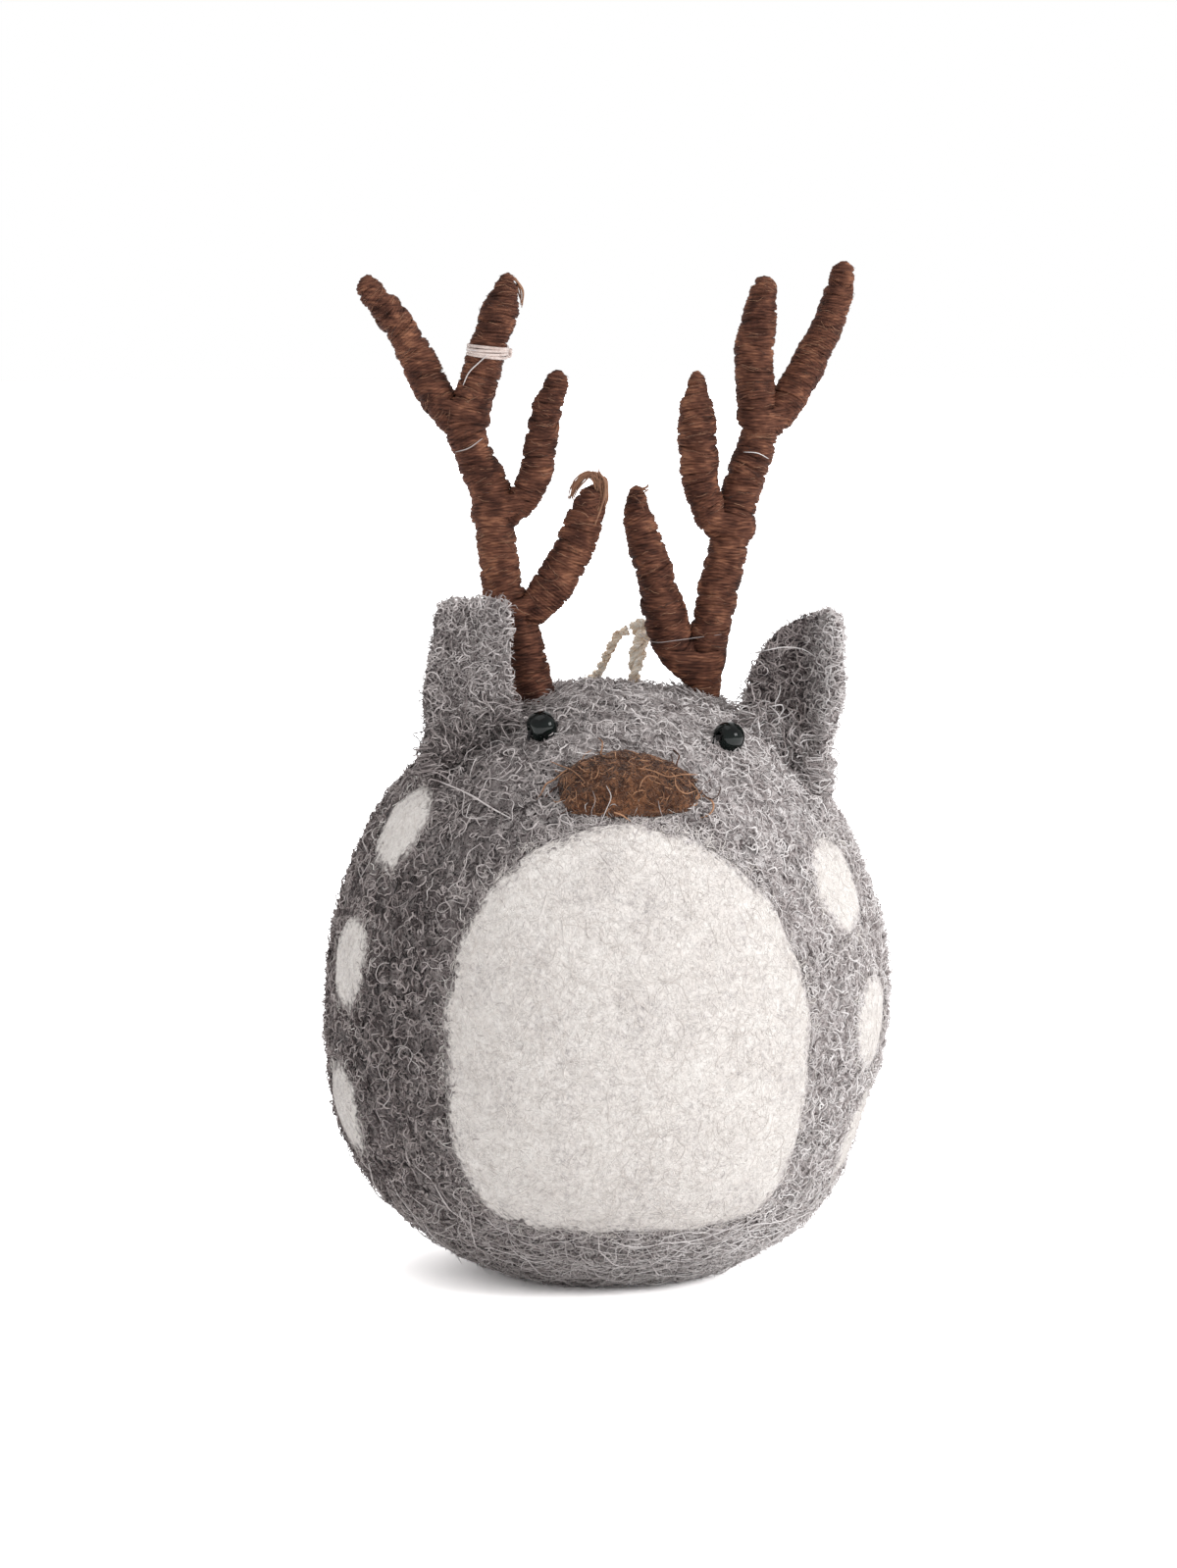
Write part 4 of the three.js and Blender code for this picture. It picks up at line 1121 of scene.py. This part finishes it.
def fork_wraps(beam, tine, seed):
    """Arrays of the turns that bind a tine to its beam, round both where they part."""
    near = [np.linalg.norm(beam.path - point, axis=1).argmin() for point in tine.path]
    apart = np.linalg.norm(beam.path[near] - tine.path, axis=1) / (beam.radius[near] + tine.radius)
    first, last = (int(np.argmax(apart > share)) for share in WRAP_SPAN)
    turns = max(3, round(np.linalg.norm(tine.path[last] - tine.path[first]) / THREAD_PITCH))
    angles = np.linspace(0, 2 * np.pi * turns, turns * STEPS_PER_WRAP)
    lines, ups, spokes = [], [], []
    for angle, place in zip(angles, np.linspace(first, last, len(angles))):
        i = int(place)
        j = near[i]
        up = unit(beam.directions[0][j] + tine.directions[0][i])
        side = unit(np.cross(up, np.cross(tine.path[i] - beam.path[j] + 1e-6, up)))
        spoke = np.cos(angle) * side + np.sin(angle) * np.cross(up, side)
        ends = [(beam.path[j], beam.radius[j]), (tine.path[i], tine.radius[i])]
        centre, radius = max(ends, key=lambda end: end[0] @ spoke + end[1])
        rise = WRAP_LIFT - WRAP_TAPER * abs(2 * (place - first) / (last - first) - 1) ** 3
        lines.append(centre + (radius + rise) * spoke + WRAP_SLANT * math.sin(angle + seed) * up)
        ups.append(up)
        spokes.append(spoke)
    line, up, spoke = np.array(lines), np.array(ups), np.array(spokes)
    parts = []
    for ply in PLIES:
        beside = line + ply * PLY_SPACING * up - PLY_DROP * abs(ply) * spoke
        count = int(steps_along(beside)[-1] / WRAP_STEP)
        parts.append(thread_arrays(resampled(beside, count), PLY_RADIUS))
    return joined(parts)


def brown_thread_material():
    """Matt yarn, whose streaks run along its turns."""
    tones = [(0.34, (38, 21, 16)), (0.45, (72, 44, 35)), (0.55, (108, 70, 55)), (0.66, (156, 108, 83))]
    return yarn_material("brown_thread", (0.75, 0.0, 0.12), (2.2, 2.0, 0.4, 1.0), (0.24, 3.0, 0.6, 6.0, 6),
                         tones, (0.16, 3.0, 0.6, 2.0, 4), 0.08)


def make_antler(side, brown_thread):
    """The four windings of an antler, and their nap in two tones."""
    base = seat(*ANTLER_PLACES[side])
    branches = {name: Branch(base, rows, TIPS[side][name]) for name, rows in ANTLER_SHARES[side].items()}
    pieces = []
    for number, (name, branch) in enumerate(branches.items()):
        node = "winding_%s_%s" % (side, name)
        seed = number + ANTLER_SEEDS[side]
        parts = [sleeve(branch, seed), wound(branch, seed)]
        if name != "beam":
            parts.append(fork_wraps(branches["beam"], branch, number))
        pieces.append(mesh_object(node + "_thread", joined(parts), brown_thread, "brown_thread",
                                  stands_for=[node]))
    for tone, density, high in NAP:
        parts = []
        for branch, piece in zip(branches.values(), pieces):
            tree = tree_of(piece)
            parts.append(nap_arrays(branch, tree, density, 2.2, 0.035, high))
            parts.append(nap_arrays(branch, tree, density / 2, 1.0, 0.025, 0.35, loose))
        add_fibres("antler_%s_nap_%s" % (side, tone), "brown_" + tone, parts, "brown_thread")
    return branches, pieces


brown_thread = brown_thread_material()
left_branches, left_antler = make_antler("left", brown_thread)
_, right_antler = make_antler("right", brown_thread)


# Wires inside the antlers keep their CAD form
def steel_material():
    tones = [(0.3, (120, 120, 117)), (0.7, (160, 160, 156))]
    return mottled_material("steel_wire", 0.4, (0.6, 2.0, 0.0, 1.0), tones, (0.2, 2.0, 0.0, 3.0), 0.01,
                            metal=1.0)


steel = steel_material()
for side in ("left", "right"):
    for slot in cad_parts["antler_wire_" + side].material_slots:
        slot.material = steel


# Eyes: glass beads sewn on with black thread
BEAD_DIAMETER = 3.3
BEAD_LENGTH = 2.8
BEAD_BORE = 1.1
BEAD_SINK = 0.7
BEAD_SIDES, BEAD_RINGS, BORE_RINGS = 48, 29, 8
BEAD_FULLNESS = 0.8  # lower is fuller at the shoulders
BORE_SWELL = 0.12  # how much narrower the bore is in its middle
STITCH_DEPTH = 5
STITCH_STEP = 0.06
STITCH_INSET, STITCH_OUTSET = 0.2, 0.35  # where it bends at the bore's end, and how far it stands off
STITCH_PLY_RADIUS = 0.12
STITCH_PLY_OFFSET = 0.11
STITCH_LAY = 0.9
EYE_PLACES = {"left": (-31.7, 63.4, 50), "right": (41.6, 59.6, -12)}  # turn, rise, roll of the bore


def glass_material():
    tones = [(0.35, (6, 8, 8)), (0.65, (15, 24, 22))]
    return mottled_material("black_glass", 0.06, (1.5, 2.0, 0.3, 1.0), tones, (0.9, 1.0, 0.0, 3.0), 0.012,
                            gloss=0.18)


def black_thread_material():
    tones = [(0.3, (16, 15, 16)), (0.7, (44, 42, 43))]
    return mottled_material("black_thread", 0.75, (0.3, 2.0, 0.5, 1.0), tones, (0.1, 2.0, 0.5, 1.0), 0.03,
                            sheen=0.2)


class Eye:
    """Places in an eye's own frame: along its bore, across it, and out of the ball."""

    def __init__(self, turn, rise, roll):
        out = aim(*np.radians((turn, rise)))  # along which the bead stands off the ball
        level = unit(np.cross((0, 0, 1), out))
        roll = math.radians(roll)
        along = math.cos(roll) * level + math.sin(roll) * np.cross(out, level)
        self.axes = np.array([along, np.cross(out, along), out])
        self.centre = MIDDLE + out * (reach(out) + BEAD_DIAMETER / 2 - BEAD_SINK)

    def place(self, points):
        return self.centre + np.asarray(points, float) @ self.axes


def bead_arrays(eye):
    """A seed bead: a rounded ring, its bore open along the eye's first axis."""
    bends = np.linspace(-np.pi / 2, np.pi / 2, BEAD_RINGS)
    out = BEAD_BORE / 2 + (BEAD_DIAMETER - BEAD_BORE) / 2 * np.cos(bends) ** BEAD_FULLNESS
    along = BEAD_LENGTH / 2 * np.sin(bends)
    lip = np.linspace(0.9, -0.9, BORE_RINGS)
    out = np.concatenate([out, BEAD_BORE / 2 - BORE_SWELL * np.cos(lip * np.pi / 2)])
    along = np.concatenate([along, BEAD_LENGTH / 2 * lip])
    angles = 2 * np.pi * np.arange(BEAD_SIDES) / BEAD_SIDES
    points = np.stack([
        along[:, None] + 0 * angles, np.outer(out, np.cos(angles)), np.outer(out, np.sin(angles)),
    ], axis=-1)
    index = np.arange(points.shape[0] * BEAD_SIDES).reshape(-1, BEAD_SIDES)
    next_ring, after = np.roll(index, -1, axis=0), np.roll(index, -1, axis=1)
    quads = np.stack([index, next_ring, np.roll(next_ring, -1, axis=1), after], axis=-1)
    return eye.place(points.reshape(-1, 3)), quads.ravel(), np.full(quads.size // 4, 4)


def stitch_path():
    """The bead's thread in its own frame: out of the felt, through the bore and into the felt again."""
    inner, outer = BEAD_LENGTH / 2 - STITCH_INSET, BEAD_LENGTH / 2 + STITCH_OUTSET
    half = [
        (outer, 0, -STITCH_DEPTH), (outer, 0, -2.4), (outer, 0, -1.2), (inner + 0.35, 0, -0.2), (inner, 0, 0),
    ]
    return smooth_path([(-x, y, z) for x, y, z in half] + half[::-1], STITCH_STEP)[0]


def make_eye(side, glass, black_thread):
    eye = Eye(*EYE_PLACES[side])
    mesh_object("eye_%s_glass" % side, bead_arrays(eye), glass, "black_glass",
                stands_for=["eye_bead_" + side])
    plies = [thread_arrays(line, STITCH_PLY_RADIUS, THREAD_SIDES)
             for line in plied(eye.place(stitch_path()), STITCH_PLY_OFFSET, STITCH_LAY, 2)]
    mesh_object("eye_%s_thread" % side, joined(plies), black_thread, "black_thread",
                stands_for=["eye_stitch_" + side])


glass, black_thread = glass_material(), black_thread_material()
for side in EYE_PLACES:
    make_eye(side, glass, black_thread)


# White thread tied round a tine
TIE_SHARE = 0.829
TIE_TILT = math.radians(-13)
TIE_TURNS = 4
TIE_THREAD_RADIUS = 0.17
TIE_KNOT_SIZE = 0.14
TIE_STEPS, TIE_KNOT_STEPS = 71, 90
TIE_SPACING = 1.9  # of its turns, in radii of the thread
TIE_LIFT, TIE_KNOT_LIFT = 0.12, 0.34  # of the thread's middle over the tine


def tie_arrays(beam):
    travelled = np.array(TIE_SHARE * beam.length)
    centre, along = beam.at(travelled, beam.path), beam.at(travelled, beam.directions[0])
    cos, sin = math.cos(TIE_TILT), math.sin(TIE_TILT)
    along = np.array([along[0] * cos + along[2] * sin, along[1], along[2] * cos - along[0] * sin])
    right = unit(np.cross((0, 1, 0), along))
    back = np.cross(along, right)
    radius = float(beam.at(travelled, beam.radius))
    parts = []
    for turn in range(TIE_TURNS):
        angles = np.linspace(0, 2 * np.pi, TIE_STEPS, endpoint=False)
        level = (turn - (TIE_TURNS - 1) / 2) * TIE_THREAD_RADIUS * TIE_SPACING
        out = radius + TIE_LIFT + 0.03 * np.sin(3 * angles + turn)
        rise = level + 0.05 * np.sin(2 * angles + 1.7 * turn)
        line = centre + out[:, None] * spokes_at(angles, right, back) + rise[:, None] * along
        parts.append(thread_arrays(np.vstack([line, line[:2]]), TIE_THREAD_RADIUS, THREAD_SIDES))
    knot = TIE_KNOT_SIZE * trefoil(TIE_KNOT_STEPS) @ np.array([back, along, right])
    knot = knot + centre + (radius + TIE_KNOT_LIFT) * right
    parts.append(thread_arrays(knot, TIE_THREAD_RADIUS, THREAD_SIDES))
    return joined(parts)


def white_thread_material():
    tones = [(0.3, (190, 170, 162)), (0.7, (228, 212, 205))]
    return mottled_material("white_thread", 0.5, (0.8, 2.0, 0.5, 1.0), tones, (0.12, 2.0, 0.5, 1.0), 0.04,
                            sheen=0.4, gloss=0.5)


tie = mesh_object("tine_tie_thread", tie_arrays(left_branches["beam"]), white_thread_material(),
                  "white_thread", stands_for=["tine_tie"])


# Hanging loop of twine, by the CAD's route in metres
TWINE_DIAMETER = 1.1
TWINE_LAY, YARN_LAY = 2.8, 1.7
TWINE_STEP = 0.13
LOOP_HAIRS, ROOT_HAIRS = 900, 160
LOOP_ROUTE = [
    (0.0026, 0.005, 0.0695), (0.0017, 0.0051, 0.0691), (0.0007, 0.0059, 0.0673), (-0.0004, 0.0079, 0.0646),
    (-0.0015, 0.0112, 0.0632), (-0.0025, 0.0149, 0.0612), (-0.0034, 0.0186, 0.0583),
    (-0.0042, 0.0223, 0.0543), (-0.0048, 0.0256, 0.0495), (-0.0052, 0.0284, 0.0439),
    (-0.0054, 0.0304, 0.0374), (-0.0053, 0.0313, 0.031), (-0.0049, 0.0316, 0.0248),
    (-0.0041, 0.0316, 0.0192), (-0.0023, 0.0316, 0.0148), (0.0006, 0.0316, 0.0134), (0.0034, 0.0316, 0.015),
    (0.005, 0.0316, 0.0196), (0.0061, 0.0315, 0.0252), (0.007, 0.031, 0.0312), (0.0078, 0.0299, 0.0374),
    (0.0086, 0.0277, 0.0439), (0.0093, 0.0246, 0.0495), (0.0098, 0.0209, 0.0542), (0.0101, 0.0168, 0.058),
    (0.0101, 0.0128, 0.0609), (0.0097, 0.0093, 0.0633), (0.0089, 0.0067, 0.0662), (0.0076, 0.0053, 0.0687),
    (0.0062, 0.005, 0.0695),
]
ROOT_ROUTE = [(3.1, 3.6, 57.8), (3.2, 3.8, 63.6), (3.6, 4.3, 66.8), (4.4, 5, 69.5)]
ROOT_SPACING, ROOT_LAY = 0.42, 9  # spacing of its two lines in diameters, and the run of a full turn
KNOT_SIZE, KNOT_STEPS = 0.42, 130
KNOT_TWINE_SHARE = 0.9  # its twine is drawn tight, and so a little thinner


def twine_material():
    tones = [(0.38, (176, 136, 104)), (0.46, (252, 232, 208)), (0.6, (255, 250, 240))]
    return yarn_material("twine", (0.95, 0.2), (1.6, 2.0, 0.5, 1.0), (0.25, 2.0, 1.0, 4.0), tones,
                         (0.12, 2.0, 0.8, 1.0), 0.03)


def make_loop(twine):
    line, _ = smooth_path(np.array(LOOP_ROUTE) / MM, TWINE_STEP)
    arrays = twine_arrays(line, TWINE_DIAMETER, TWINE_LAY, YARN_LAY)
    loop = mesh_object("hanging_loop_twine", arrays, twine, "twine", "loop", ["hanging_loop"])
    arrays = fibre_arrays(tree_of(loop), spread_over([loop], LOOP_HAIRS), 1.7, 2.0, 0.02, 0.8, loose)
    hairs = add_fibres("hanging_loop_hairs", "twine", [arrays], "twine", "loop")
    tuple(LOOP_ROUTE[0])
    [tuple(point) for point in line * MM]


def make_loop_root(twine):
    """The doubled twine that comes out of the crown, and the knot on it."""
    stem, _ = smooth_path(ROOT_ROUTE, TWINE_STEP)
    parts = [twine_arrays(line, TWINE_DIAMETER, TWINE_LAY, YARN_LAY)
             for line in plied(stem, TWINE_DIAMETER * ROOT_SPACING, ROOT_LAY, 2)]
    knot = trefoil(KNOT_STEPS)[:, (0, 2, 1)] * KNOT_SIZE + np.array(ROOT_ROUTE[-1])
    parts.append(twine_arrays(knot, TWINE_DIAMETER * KNOT_TWINE_SHARE, TWINE_LAY, YARN_LAY))
    root = mesh_object("loop_root_twine", joined(parts), twine, "twine", stands_for=["loop_root"])
    arrays = fibre_arrays(tree_of(root), spread_over([root], ROOT_HAIRS), 1.8, 2.0, 0.02, 0.8, loose)
    add_fibres("loop_root_hairs", "twine", [arrays], "twine")


twine = twine_material()
make_loop(twine)
make_loop_root(twine)


# Felt drawn up round what comes out of it: where, how far out it starts, fibres, length and height
COLLARS = {
    "antler_left": (ANTLER_PLACES["left"], (1.9, 3.0), 300, 2.4, 1.5),
    "antler_right": (ANTLER_PLACES["right"], (1.7, 2.8), 300, 2.4, 1.5),
    "eye_left": (EYE_PLACES["left"], (1.2, 1.9), 70, 2.2, 0.7),
    "eye_right": (EYE_PLACES["right"], (1.2, 1.9), 70, 2.2, 0.7),
}
EAR_STARTS = 2600
EAR_FOOT = (-0.3, 2.4)  # heights over the ball between which the ears' feet get fibres


def make_collars():
    parts = {"mid": [], "light": []}
    for spot, (low, high), count, length, rise in COLLARS.values():
        place = seat(*spot)
        out = unit(place - MIDDLE)
        side = unit(np.cross(out, (0, 1, 0)))
        for tone in parts:
            angles = rng.uniform(0, 2 * np.pi, count)
            spokes = spokes_at(angles, side, np.cross(out, side))
            starts = place + rng.uniform(low, high, (count, 1)) * spokes
            around = np.cross(out, spokes) * rng.choice([-1, 1], (count, 1)) - 0.4 * spokes
            parts[tone].append(fibre_arrays(skin, starts, length, 1.6, 0.05, rise, loose, heading=around))
    ball_and_ears = tree_of(ball, *ears.values())
    for piece in ears.values():
        starts = spread_over([piece], EAR_STARTS)
        height = np.linalg.norm(starts - MIDDLE, axis=1) - reach(unit(starts - MIDDLE))
        starts = starts[(height > EAR_FOOT[0]) & (height < EAR_FOOT[1])]
        for tone in parts:
            parts[tone].append(fibre_arrays(ball_and_ears, starts, 3.6, 0.9, 0.075, 1.5))
    for tone, arrays in parts.items():
        add_fibres("collar_fibres_" + tone, "ball_" + tone, arrays)


make_collars()


# Single hairs, by the pixels of the photograph that they pass: fibre, slot, radius, and height over what
# they lie on
HAIRS = {
    "cheek_hair": ("ball_white", "grey_felt", 0.1, 0.6,
                   [(445, 796), (463, 803), (482, 812), (503, 825), (520, 834)]),
    "ear_hair_right": ("ball_light", "grey_felt", 0.06, 0.9,
                       [(762, 668), (782, 663), (800, 660), (818, 662), (832, 670)]),
    "ear_hair_left": ("ball_light", "grey_felt", 0.07, 0.6,
                      [(506, 612), (515, 617), (520, 629), (516, 641), (508, 648)]),
    "stem_hair": ("ball_mid", "grey_felt", 0.04, 0.4,
                  [(650, 646), (668, 655), (690, 653), (712, 650), (736, 647)]),
    "tine_hair_left": ("ball_light", "grey_felt", 0.06, 0.3,
                       [(464, 461), (478, 457), (492, 447)]),
    "tip_hair": ("ball_light", "brown_thread", 0.04, 0.2,
                 [(656, 500), (664, 491), (671, 497), (673, 508), (669, 516)]),
    "tine_hair_right": ("ball_light", "grey_felt", 0.05, 0.3,
                        [(758, 461), (772, 462), (784, 468)]),
    "nose_strand_long": ("nose_light", "brown_felt", 0.07, 0.6,
                         [(650, 783), (665, 786), (681, 792), (695, 790), (712, 790)]),
    "nose_strand_curl": ("nose_light", "brown_felt", 0.07, 0.6,
                         [(652, 804), (655, 796), (661, 791), (671, 793)]),
    "nose_strand_right": ("nose_light", "brown_felt", 0.065, 0.6,
                          [(688, 792), (690, 803), (698, 809), (710, 806)]),
    "nose_strand_left": ("nose_light", "brown_felt", 0.065, 0.6,
                         [(560, 776), (572, 781), (584, 786), (596, 797)]),
    "nose_hair_left": ("ball_mid", "grey_felt", 0.04, 0.4,
                       [(604, 806), (607, 816), (603, 828), (605, 838)]),
    "nose_hair_middle": ("ball_light", "grey_felt", 0.045, 0.4,
                         [(618, 801), (623, 812), (618, 826), (611, 842)]),
    "nose_hair_right": ("ball_mid", "grey_felt", 0.04, 0.4,
                        [(671, 816), (673, 826), (679, 840)]),
    "tie_end": ("ball_white", "white_thread", 0.07, 0.3,
                [(498, 361), (488, 370), (478, 380), (472, 393)]),
    "tie_loose_end": ("ball_white", "white_thread", 0.07, 0.3,
                      [(487, 358), (480, 357), (475, 356)]),
}
# Threads worked loose at the ends of the tines: antler, how many, how far they spread, and pixels as above
FRAYS = {
    "fray_left_inner_end": ("left", 70, 0.55, [(604, 534), (609, 519), (613, 506), (613, 495), (608, 487)]),
    "fray_left_inner": ("left", 20, 0.3, [(615, 520), (618, 508), (618, 496), (612, 487), (603, 483),
                                          (595, 487), (588, 495), (583, 508)]),
    "fray_left_beam": ("left", 5, 0.35, [(518, 300), (517, 289), (521, 282), (525, 286), (529, 296),
                                         (530, 312)]),
    "fray_right_inner": ("right", 6, 0.3, [(650, 514), (649, 506), (651, 500), (657, 499), (661, 497)]),
    "fray_right_middle": ("right", 5, 0.25, [(711, 402), (712, 393), (713, 386), (712, 381)]),
}
FRAY_RADIUS = 0.1
FRAY_DEPTH = 0.6  # how far inside the winding the threads start
HAIR_STEP, HAIR_SIDES, HAIR_TAPER = 0.3, 5, 0.6


def drawn_line(tree, pixels, lift, shift=0.0):
    """A smooth line over what the camera sees at each pixel, or else as far off as the pixel before it.

    A first pixel that shows nothing is as far off as the piece nearest to it.
    """
    points, distance = [], None
    for pixel in pixels:
        ray = pixel_ray(pixel)
        hit, _, _, found = tree.ray_cast(Vector(camera_place), Vector(ray))
        if hit:
            distance = found - lift
        elif distance is None:
            nearest = tree.find_nearest(Vector(camera_place + ray * CAMERA_DISTANCE))[0]
            distance = (np.array(nearest) - camera_place) @ ray
        points.append(camera_place + ray * distance)
    return smooth_path(np.array(points) + shift, HAIR_STEP)[0]


def hair_arrays(line, radius):
    taper = 1 - HAIR_TAPER * np.linspace(-1, 1, len(line)) ** 4
    return thread_arrays(line, radius * taper, HAIR_SIDES)


def make_hairs():
    tree = tree_of(ball, belly, nose, *ears.values(), *left_antler, *right_antler, tie)
    for name, (fibre, slot, radius, lift, pixels) in HAIRS.items():
        add_fibres(name, fibre, [hair_arrays(drawn_line(tree, pixels, lift), radius)], slot)
    antlers = {"left": tree_of(*left_antler), "right": tree_of(*right_antler)}
    for name, (side, count, spread, pixels) in FRAYS.items():
        parts = []
        for _ in range(count):
            growing = np.linspace(0.3, 1, len(pixels))[:, None]
            wander = rng.normal(0, spread / PIXEL / 2, (len(pixels), 2)) * growing
            shift = rng.normal(0, spread / 2, 3)
            line = drawn_line(antlers[side], np.array(pixels) + wander, -FRAY_DEPTH, shift)
            parts.append(hair_arrays(line, FRAY_RADIUS))
        add_fibres(name, "brown_light", parts, "brown_thread")


make_hairs()


# Floor, light and background
FLOOR_SIZE = 6
FLOOR_COLOUR = 0.98
FLOOR_GAIN = 3.2  # how much lighter the floor looks to the camera, so that all but its shadow is white
WHITE = (1, 1, 1, 1)
WORLD_STRENGTH = 0.97
DARK_SIDE = 0.56  # light from the left as a share of that from the right
LIGHT_CHANGE = (-0.8, 0.4)  # where the light changes, from -1 on the left to 1 on the right
LAMP_TARGET = (0, 0, 0.05)
LAMPS = {"key": ((0.78, -0.52, 0.4), 0.3, 3.5), "top": ((-0.15, -0.1, 0.9), 0.6, 1.3)}  # place, size, power


def seen_directly(tree):
    """1 for what the camera sees, directly, in a reflection or through glass, and 0 for bounced light."""
    path = tree.nodes.new("ShaderNodeLightPath")
    value = path.outputs["Is Camera Ray"]
    for other in ("Is Glossy Ray", "Is Transmission Ray"):
        larger = tree.nodes.new("ShaderNodeMath")
        larger.operation = "MAXIMUM"
        tree.links.new(value, larger.inputs[0])
        tree.links.new(path.outputs[other], larger.inputs[1])
        value = larger.outputs[0]
    return value


def mixed_shader(tree, share, a, b, output):
    mix = tree.nodes.new("ShaderNodeMixShader")
    for socket, value in zip(mix.inputs, (share, a, b)):
        tree.links.new(value, socket)
    tree.links.new(mix.outputs[0], tree.nodes[output].inputs["Surface"])


def make_floor():
    half = FLOOR_SIZE / 2
    mesh = bpy.data.meshes.new("floor")
    corners = [(-half, -half, 0), (half, -half, 0), (half, half, 0), (-half, half, 0)]
    mesh.from_pydata(corners, [], [(0, 1, 2, 3)])
    floor = new_object("floor", mesh)
    material = bpy.data.materials.new("floor")
    material.use_nodes = True
    tree = material.node_tree
    surfaces = []
    for colour in (FLOOR_COLOUR, FLOOR_GAIN):
        surface = tree.nodes.new("ShaderNodeBsdfDiffuse")
        surface.inputs["Color"].default_value = (colour, colour, colour, 1)
        surfaces.append(surface.outputs[0])
    mixed_shader(tree, seen_directly(tree), *surfaces, "Material Output")
    mesh.materials.append(material)
    floor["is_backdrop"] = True


def make_lamp(name, place, size, power):
    data = bpy.data.lights.new(name, "AREA")
    data.size, data.energy = size, power
    lamp = new_object(name, data)
    lamp.location = place
    turn_to(lamp, Vector(LAMP_TARGET) - Vector(place))


def make_world():
    world = bpy.data.worlds.new("world")
    bpy.context.scene.world = world
    world.use_nodes = True
    tree = world.node_tree
    shown = tree.nodes.new("ShaderNodeBackground")
    light = tree.nodes["Background"]
    for background in (light, shown):
        background.inputs["Color"].default_value = WHITE
    shown.inputs["Strength"].default_value = 1
    split = tree.nodes.new("ShaderNodeSeparateXYZ")
    tree.links.new(tree.nodes.new("ShaderNodeTexCoord").outputs["Generated"], split.inputs[0])
    rightness = tree.nodes.new("ShaderNodeMapRange")
    tree.links.new(split.outputs["X"], rightness.inputs["Value"])
    limits = {
        "From Min": LIGHT_CHANGE[0], "From Max": LIGHT_CHANGE[1],
        "To Min": DARK_SIDE * WORLD_STRENGTH, "To Max": WORLD_STRENGTH,
    }
    for socket, value in limits.items():
        rightness.inputs[socket].default_value = value
    tree.links.new(rightness.outputs[0], light.inputs["Strength"])
    mixed_shader(tree, seen_directly(tree), light.outputs[0], shown.outputs[0], "World Output")


make_floor()
make_world()
for name, lamp in LAMPS.items():
    make_lamp(name, *lamp)

bpy.context.scene.view_settings.view_transform = "Standard"

shown_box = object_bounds()
[[list(corner) for corner in box] for box in (cad_box, shown_box)]
